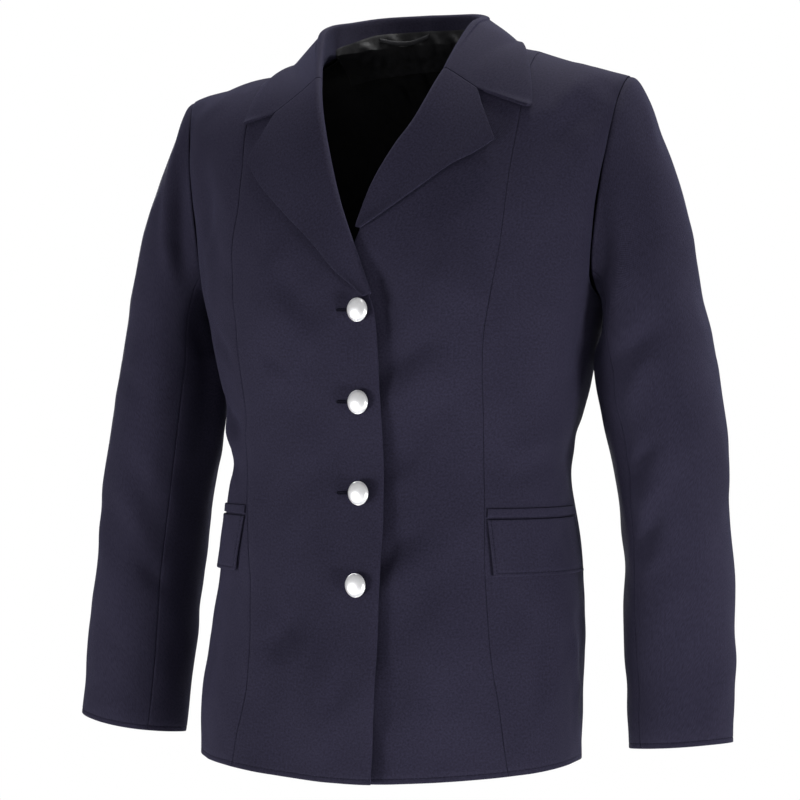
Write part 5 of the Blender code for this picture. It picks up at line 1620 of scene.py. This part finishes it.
def make_cut(number, z, dark):
    """Painted shade in a buttonhole's slit, near-black; its far end shows beside the button."""
    t = np.linspace(0, 1, CUT_COLUMNS)
    spots = HOLE_START + (HOLE_END - HOLE_START) * t
    thick = 0.5 * HOLE_TALL * (CUT_SHARE + CUT_SWELL * np.sin(pi * t))
    outline = []
    for off in CUT_OFFS:
        for sign in (1, -1):
            outline.append(front_point(spots, z + sign * thick, off))
    points = np.concatenate(outline)
    n = len(t)
    faces = []
    for k in range(n - 1):
        faces.append([k, k + 1, n + k + 1, n + k])
        faces.append([2 * n + k, 3 * n + k, 3 * n + k + 1, 2 * n + k + 1])
        faces.append([k, 2 * n + k, 2 * n + k + 1, k + 1])
        faces.append([n + k, n + k + 1, 3 * n + k + 1, 3 * n + k])
    faces.append([0, n, 3 * n, 2 * n])
    faces.append([n - 1, 3 * n - 1, 4 * n - 1, 2 * n - 1])
    declared(mesh_object(f"buttonhole_cut_{number}", points, faces, [dark]), "black_satin")


# Materials


class Nodes:
    """Adds and links the nodes of one material. In a socket's name an underscore is a space."""

    def __init__(self, name):
        self.material = bpy.data.materials.new(name)
        self.material.use_nodes = True
        self.tree = self.material.node_tree
        self.shader = self.tree.nodes["Principled BSDF"]

    def add(self, kind, **values):
        node = self.tree.nodes.new(kind)
        for key, value in values.items():
            if hasattr(node, key):
                setattr(node, key, value)
            else:
                node.inputs[key.replace("_", " ")].default_value = value
        return node

    def link(self, source, target):
        self.tree.links.new(source, target)

    def set(self, **values):
        for key, value in values.items():
            self.shader.inputs[key.replace("_", " ")].default_value = value

    def surface(self, colour, roughness=None):
        self.link(colour, self.shader.inputs["Base Color"])
        if roughness is not None:
            self.link(roughness, self.shader.inputs["Roughness"])

    def mix(self, factor, a, b):
        node = self.add("ShaderNodeMix", data_type="RGBA")
        self.link(factor, node.inputs["Factor"])
        for socket, value in ((node.inputs[6], a), (node.inputs[7], b)):
            if isinstance(value, tuple):
                socket.default_value = (*value, 1.0)
            else:
                self.link(value, socket)
        return node.outputs[2]

    def ramp(self, source, low, high, out_low=0.0, out_high=1.0):
        node = self.add("ShaderNodeMapRange")
        limits = {"From Min": low, "From Max": high, "To Min": out_low, "To Max": out_high}
        for key, value in limits.items():
            node.inputs[key].default_value = value
        self.link(source, node.inputs["Value"])
        return node.outputs["Result"]

    def noise(self, vector, scale, detail=2.0, roughness=0.5):
        node = self.add("ShaderNodeTexNoise", Scale=scale, Detail=detail, Roughness=roughness)
        self.link(vector, node.inputs["Vector"])
        return node.outputs["Fac"]

    def wave(self, vector, direction, **values):
        node = self.add("ShaderNodeTexWave", bands_direction=direction, **values)
        self.link(vector, node.inputs["Vector"])
        return node.outputs["Fac"]

    def place(self):
        return self.add("ShaderNodeTexCoord").outputs["Object"]

    def cloth_place(self):
        return self.add("ShaderNodeUVMap", uv_map="cloth").outputs["UV"]

    def maths(self, operation, a, b):
        node = self.add("ShaderNodeMath", operation=operation)
        for socket, value in zip(node.inputs, (a, b)):
            if isinstance(value, float):
                socket.default_value = value
            else:
                self.link(value, socket)
        return node.outputs[0]

    def bump(self, height, strength, distance):
        node = self.add("ShaderNodeBump", Strength=strength, Distance=distance)
        self.link(height, node.inputs["Height"])
        self.link(node.outputs["Normal"], self.shader.inputs["Normal"])


def twill_material():
    n = Nodes("twill_navy")
    uv = n.cloth_place()
    wale = n.wave(uv, "DIAGONAL", Scale=560.0, Distortion=0.6, Detail=1.0, Detail_Scale=0.6)
    pick = n.wave(uv, "X", Scale=1150.0)
    yarn = n.noise(uv, 2600.0, 2.0)
    fleck = n.noise(uv, 520.0, 4.0, 0.7)
    cloud = n.noise(n.place(), 7.0, 3.0)
    weave = n.maths("ADD", wale, n.maths("MULTIPLY", pick, 0.35))
    height = n.maths("ADD", weave, n.maths("MULTIPLY", yarn, 0.5))
    dark, light = (0.0085, 0.0076, 0.0165), (0.0290, 0.0265, 0.0485)
    flecked, clouded = n.ramp(fleck, 0.34, 0.66, 0.0, 0.66), n.ramp(cloud, 0.35, 0.65, 0.0, 0.22)
    tone = n.maths("ADD", flecked, clouded)
    tone = n.maths("ADD", tone, n.ramp(wale, 0.0, 1.0, 0.0, 0.26))
    n.surface(n.mix(tone, dark, light), n.ramp(fleck, 0.3, 0.7, 0.74, 0.88))
    n.bump(height, 0.45, 0.00016)
    n.set(Sheen_Weight=0.06, Sheen_Roughness=0.34, Sheen_Tint=(0.52, 0.54, 0.92, 1.0))
    n.set(Specular_IOR_Level=0.06)
    return n.material


def satin_material(name, dark, light):
    n = Nodes(name)
    uv = n.cloth_place()
    ribs = n.wave(uv, "Y", Scale=1300.0)
    slub = n.noise(uv, 160.0, 3.0)
    height = n.maths("ADD", ribs, n.maths("MULTIPLY", slub, 1.6))
    colour = n.mix(n.ramp(slub, 0.3, 0.7), dark, light)
    n.surface(colour, n.ramp(slub, 0.3, 0.7, 0.42, 0.60))
    n.bump(height, 0.30, 0.00008)
    n.set(Specular_IOR_Level=0.12)
    return n.material


def thread_material(name, dark, light):
    n = Nodes(name)
    ply = n.noise(n.place(), 2400.0, 2.0)
    colour = n.mix(n.ramp(ply, 0.35, 0.65), dark, light)
    n.surface(colour, n.ramp(ply, 0.3, 0.7, 0.48, 0.66))
    n.bump(ply, 0.4, 0.00008)
    n.set(Sheen_Weight=0.02, Sheen_Roughness=0.40, Specular_IOR_Level=0.06)
    return n.material


def silver_material():
    n = Nodes("silver_bright")
    place = n.place()
    haze, fine = n.noise(place, 260.0, 3.0), n.noise(place, 1900.0, 2.0)
    colour = n.mix(n.ramp(haze, 0.3, 0.7), (0.90, 0.90, 0.92), (0.97, 0.97, 0.98))
    n.surface(colour, n.ramp(fine, 0.3, 0.7, 0.28, 0.38))
    n.bump(fine, 0.05, 0.00004)
    n.set(Metallic=0.70)
    return n.material


def floor_material():
    n = Nodes("pale_floor")
    grain = n.noise(n.place(), 3.0, 4.0)
    n.surface(n.mix(grain, (0.80, 0.80, 0.80), (0.86, 0.86, 0.86)))
    n.set(Roughness=0.9)
    return n.material


# Stage


def make_stage():
    angle = np.arange(FLOOR_STEPS) * 2 * pi / FLOOR_STEPS
    x, y = FLOOR_RADIUS * np.cos(angle), FLOOR_RADIUS * np.sin(angle)
    points = np.stack([x, y, np.full(FLOOR_STEPS, FLOOR_Z)], axis=-1)
    floor = mesh_object("floor", points, [list(range(FLOOR_STEPS))], [floor_material()])
    scene = bpy.context.scene
    world = scene.world or bpy.data.worlds.new("studio")
    scene.world = world
    world.use_nodes = True
    background = world.node_tree.nodes["Background"]
    background.inputs["Color"].default_value = (1.0, 1.0, 1.0, 1.0)
    nodes, links = world.node_tree.nodes, world.node_tree.links
    toward = nodes.new("ShaderNodeTexCoord")
    facing = nodes.new("ShaderNodeVectorMath")
    facing.operation = "DOT_PRODUCT"
    facing.inputs[1].default_value = BACKDROP_WAY
    links.new(toward.outputs["Generated"], facing.inputs[0])
    spread = nodes.new("ShaderNodeMapRange")
    for key, value in (
        ("From Min", BACKDROP_START),
        ("From Max", BACKDROP_FULL),
        ("To Min", WORLD_LIGHT),
        ("To Max", BACKDROP_LIGHT),
    ):
        spread.inputs[key].default_value = value
    links.new(facing.outputs["Value"], spread.inputs["Value"])
    links.new(spread.outputs["Result"], background.inputs["Strength"])
    for name, place, aim, size, power in LIGHTS:
        lamp = bpy.data.lights.new(name, "AREA")
        lamp.shape = "DISK"
        lamp.size = size
        lamp.energy = power
        obj = bpy.data.objects.new(name, lamp)
        obj.location = place
        obj.rotation_euler = (Vector(aim) - Vector(place)).to_track_quat("-Z", "Y").to_euler()
        scene.collection.objects.link(obj)
    camera = bpy.data.cameras.new("camera")
    camera.lens = CAMERA_LENS
    camera.sensor_width = CAMERA_SENSOR
    camera.clip_end = CAMERA_END
    view = bpy.data.objects.new("camera", camera)
    view.location = CAMERA_PLACE
    view.rotation_euler = [radians(turn) for turn in CAMERA_TURN]
    scene.collection.objects.link(view)
    scene.camera = view
    scene.view_settings.view_transform = "Standard"
    scene.view_settings.look = "None"


# The folds' lines on the body and on the sleeves, read by body_relief and sleeve_relief
LINES = {
    (kind, side): lines(side)
    for kind, lines in (("body", body_lines), ("sleeve", sleeve_lines))
    for side in (1, -1)
}
make_stage()
NAVY = twill_material()
BLACK = satin_material("satin_black", (0.0016, 0.0016, 0.0021), (0.0050, 0.0050, 0.0062))
GREY = satin_material("satin_grey", (0.0150, 0.0150, 0.0175), (0.0300, 0.0300, 0.0340))
# The neck facing's satin: the loop's grey made darker, painted shade inside the neck.
SHADED_GREY = satin_material("satin_grey_painted_shade", (0.0060, 0.0060, 0.0070), (0.0150, 0.0150, 0.0170))
THREAD = thread_material("thread_navy", (0.0022, 0.0020, 0.0060), (0.0070, 0.0064, 0.0160))
# Near-black for the buttonhole cuts: painted shade in the slits.
SLIT_SHADE = thread_material("slit_painted_shade", (0.0020, 0.0020, 0.0030), (0.0050, 0.0050, 0.0070))
for SIDE, WORD in ((1, "left"), (-1, "right")):
    make_body(SIDE, WORD, NAVY, BLACK, THREAD)
    make_sleeve(SIDE, WORD, NAVY, BLACK, THREAD)
    make_lapel(SIDE, WORD, NAVY)
    make_pocket(SIDE, WORD, NAVY, THREAD)
make_collar(NAVY)
make_lining(BLACK)
make_neck_facing(SHADED_GREY)
make_loop(GREY)
SILVER = silver_material()
for NUMBER, HEIGHT in enumerate(BUTTON_Z, start=1):
    make_button(NUMBER, HEIGHT, SILVER)
    make_purl(NUMBER, HEIGHT, THREAD)
    make_cut(NUMBER, HEIGHT, SLIT_SHADE)
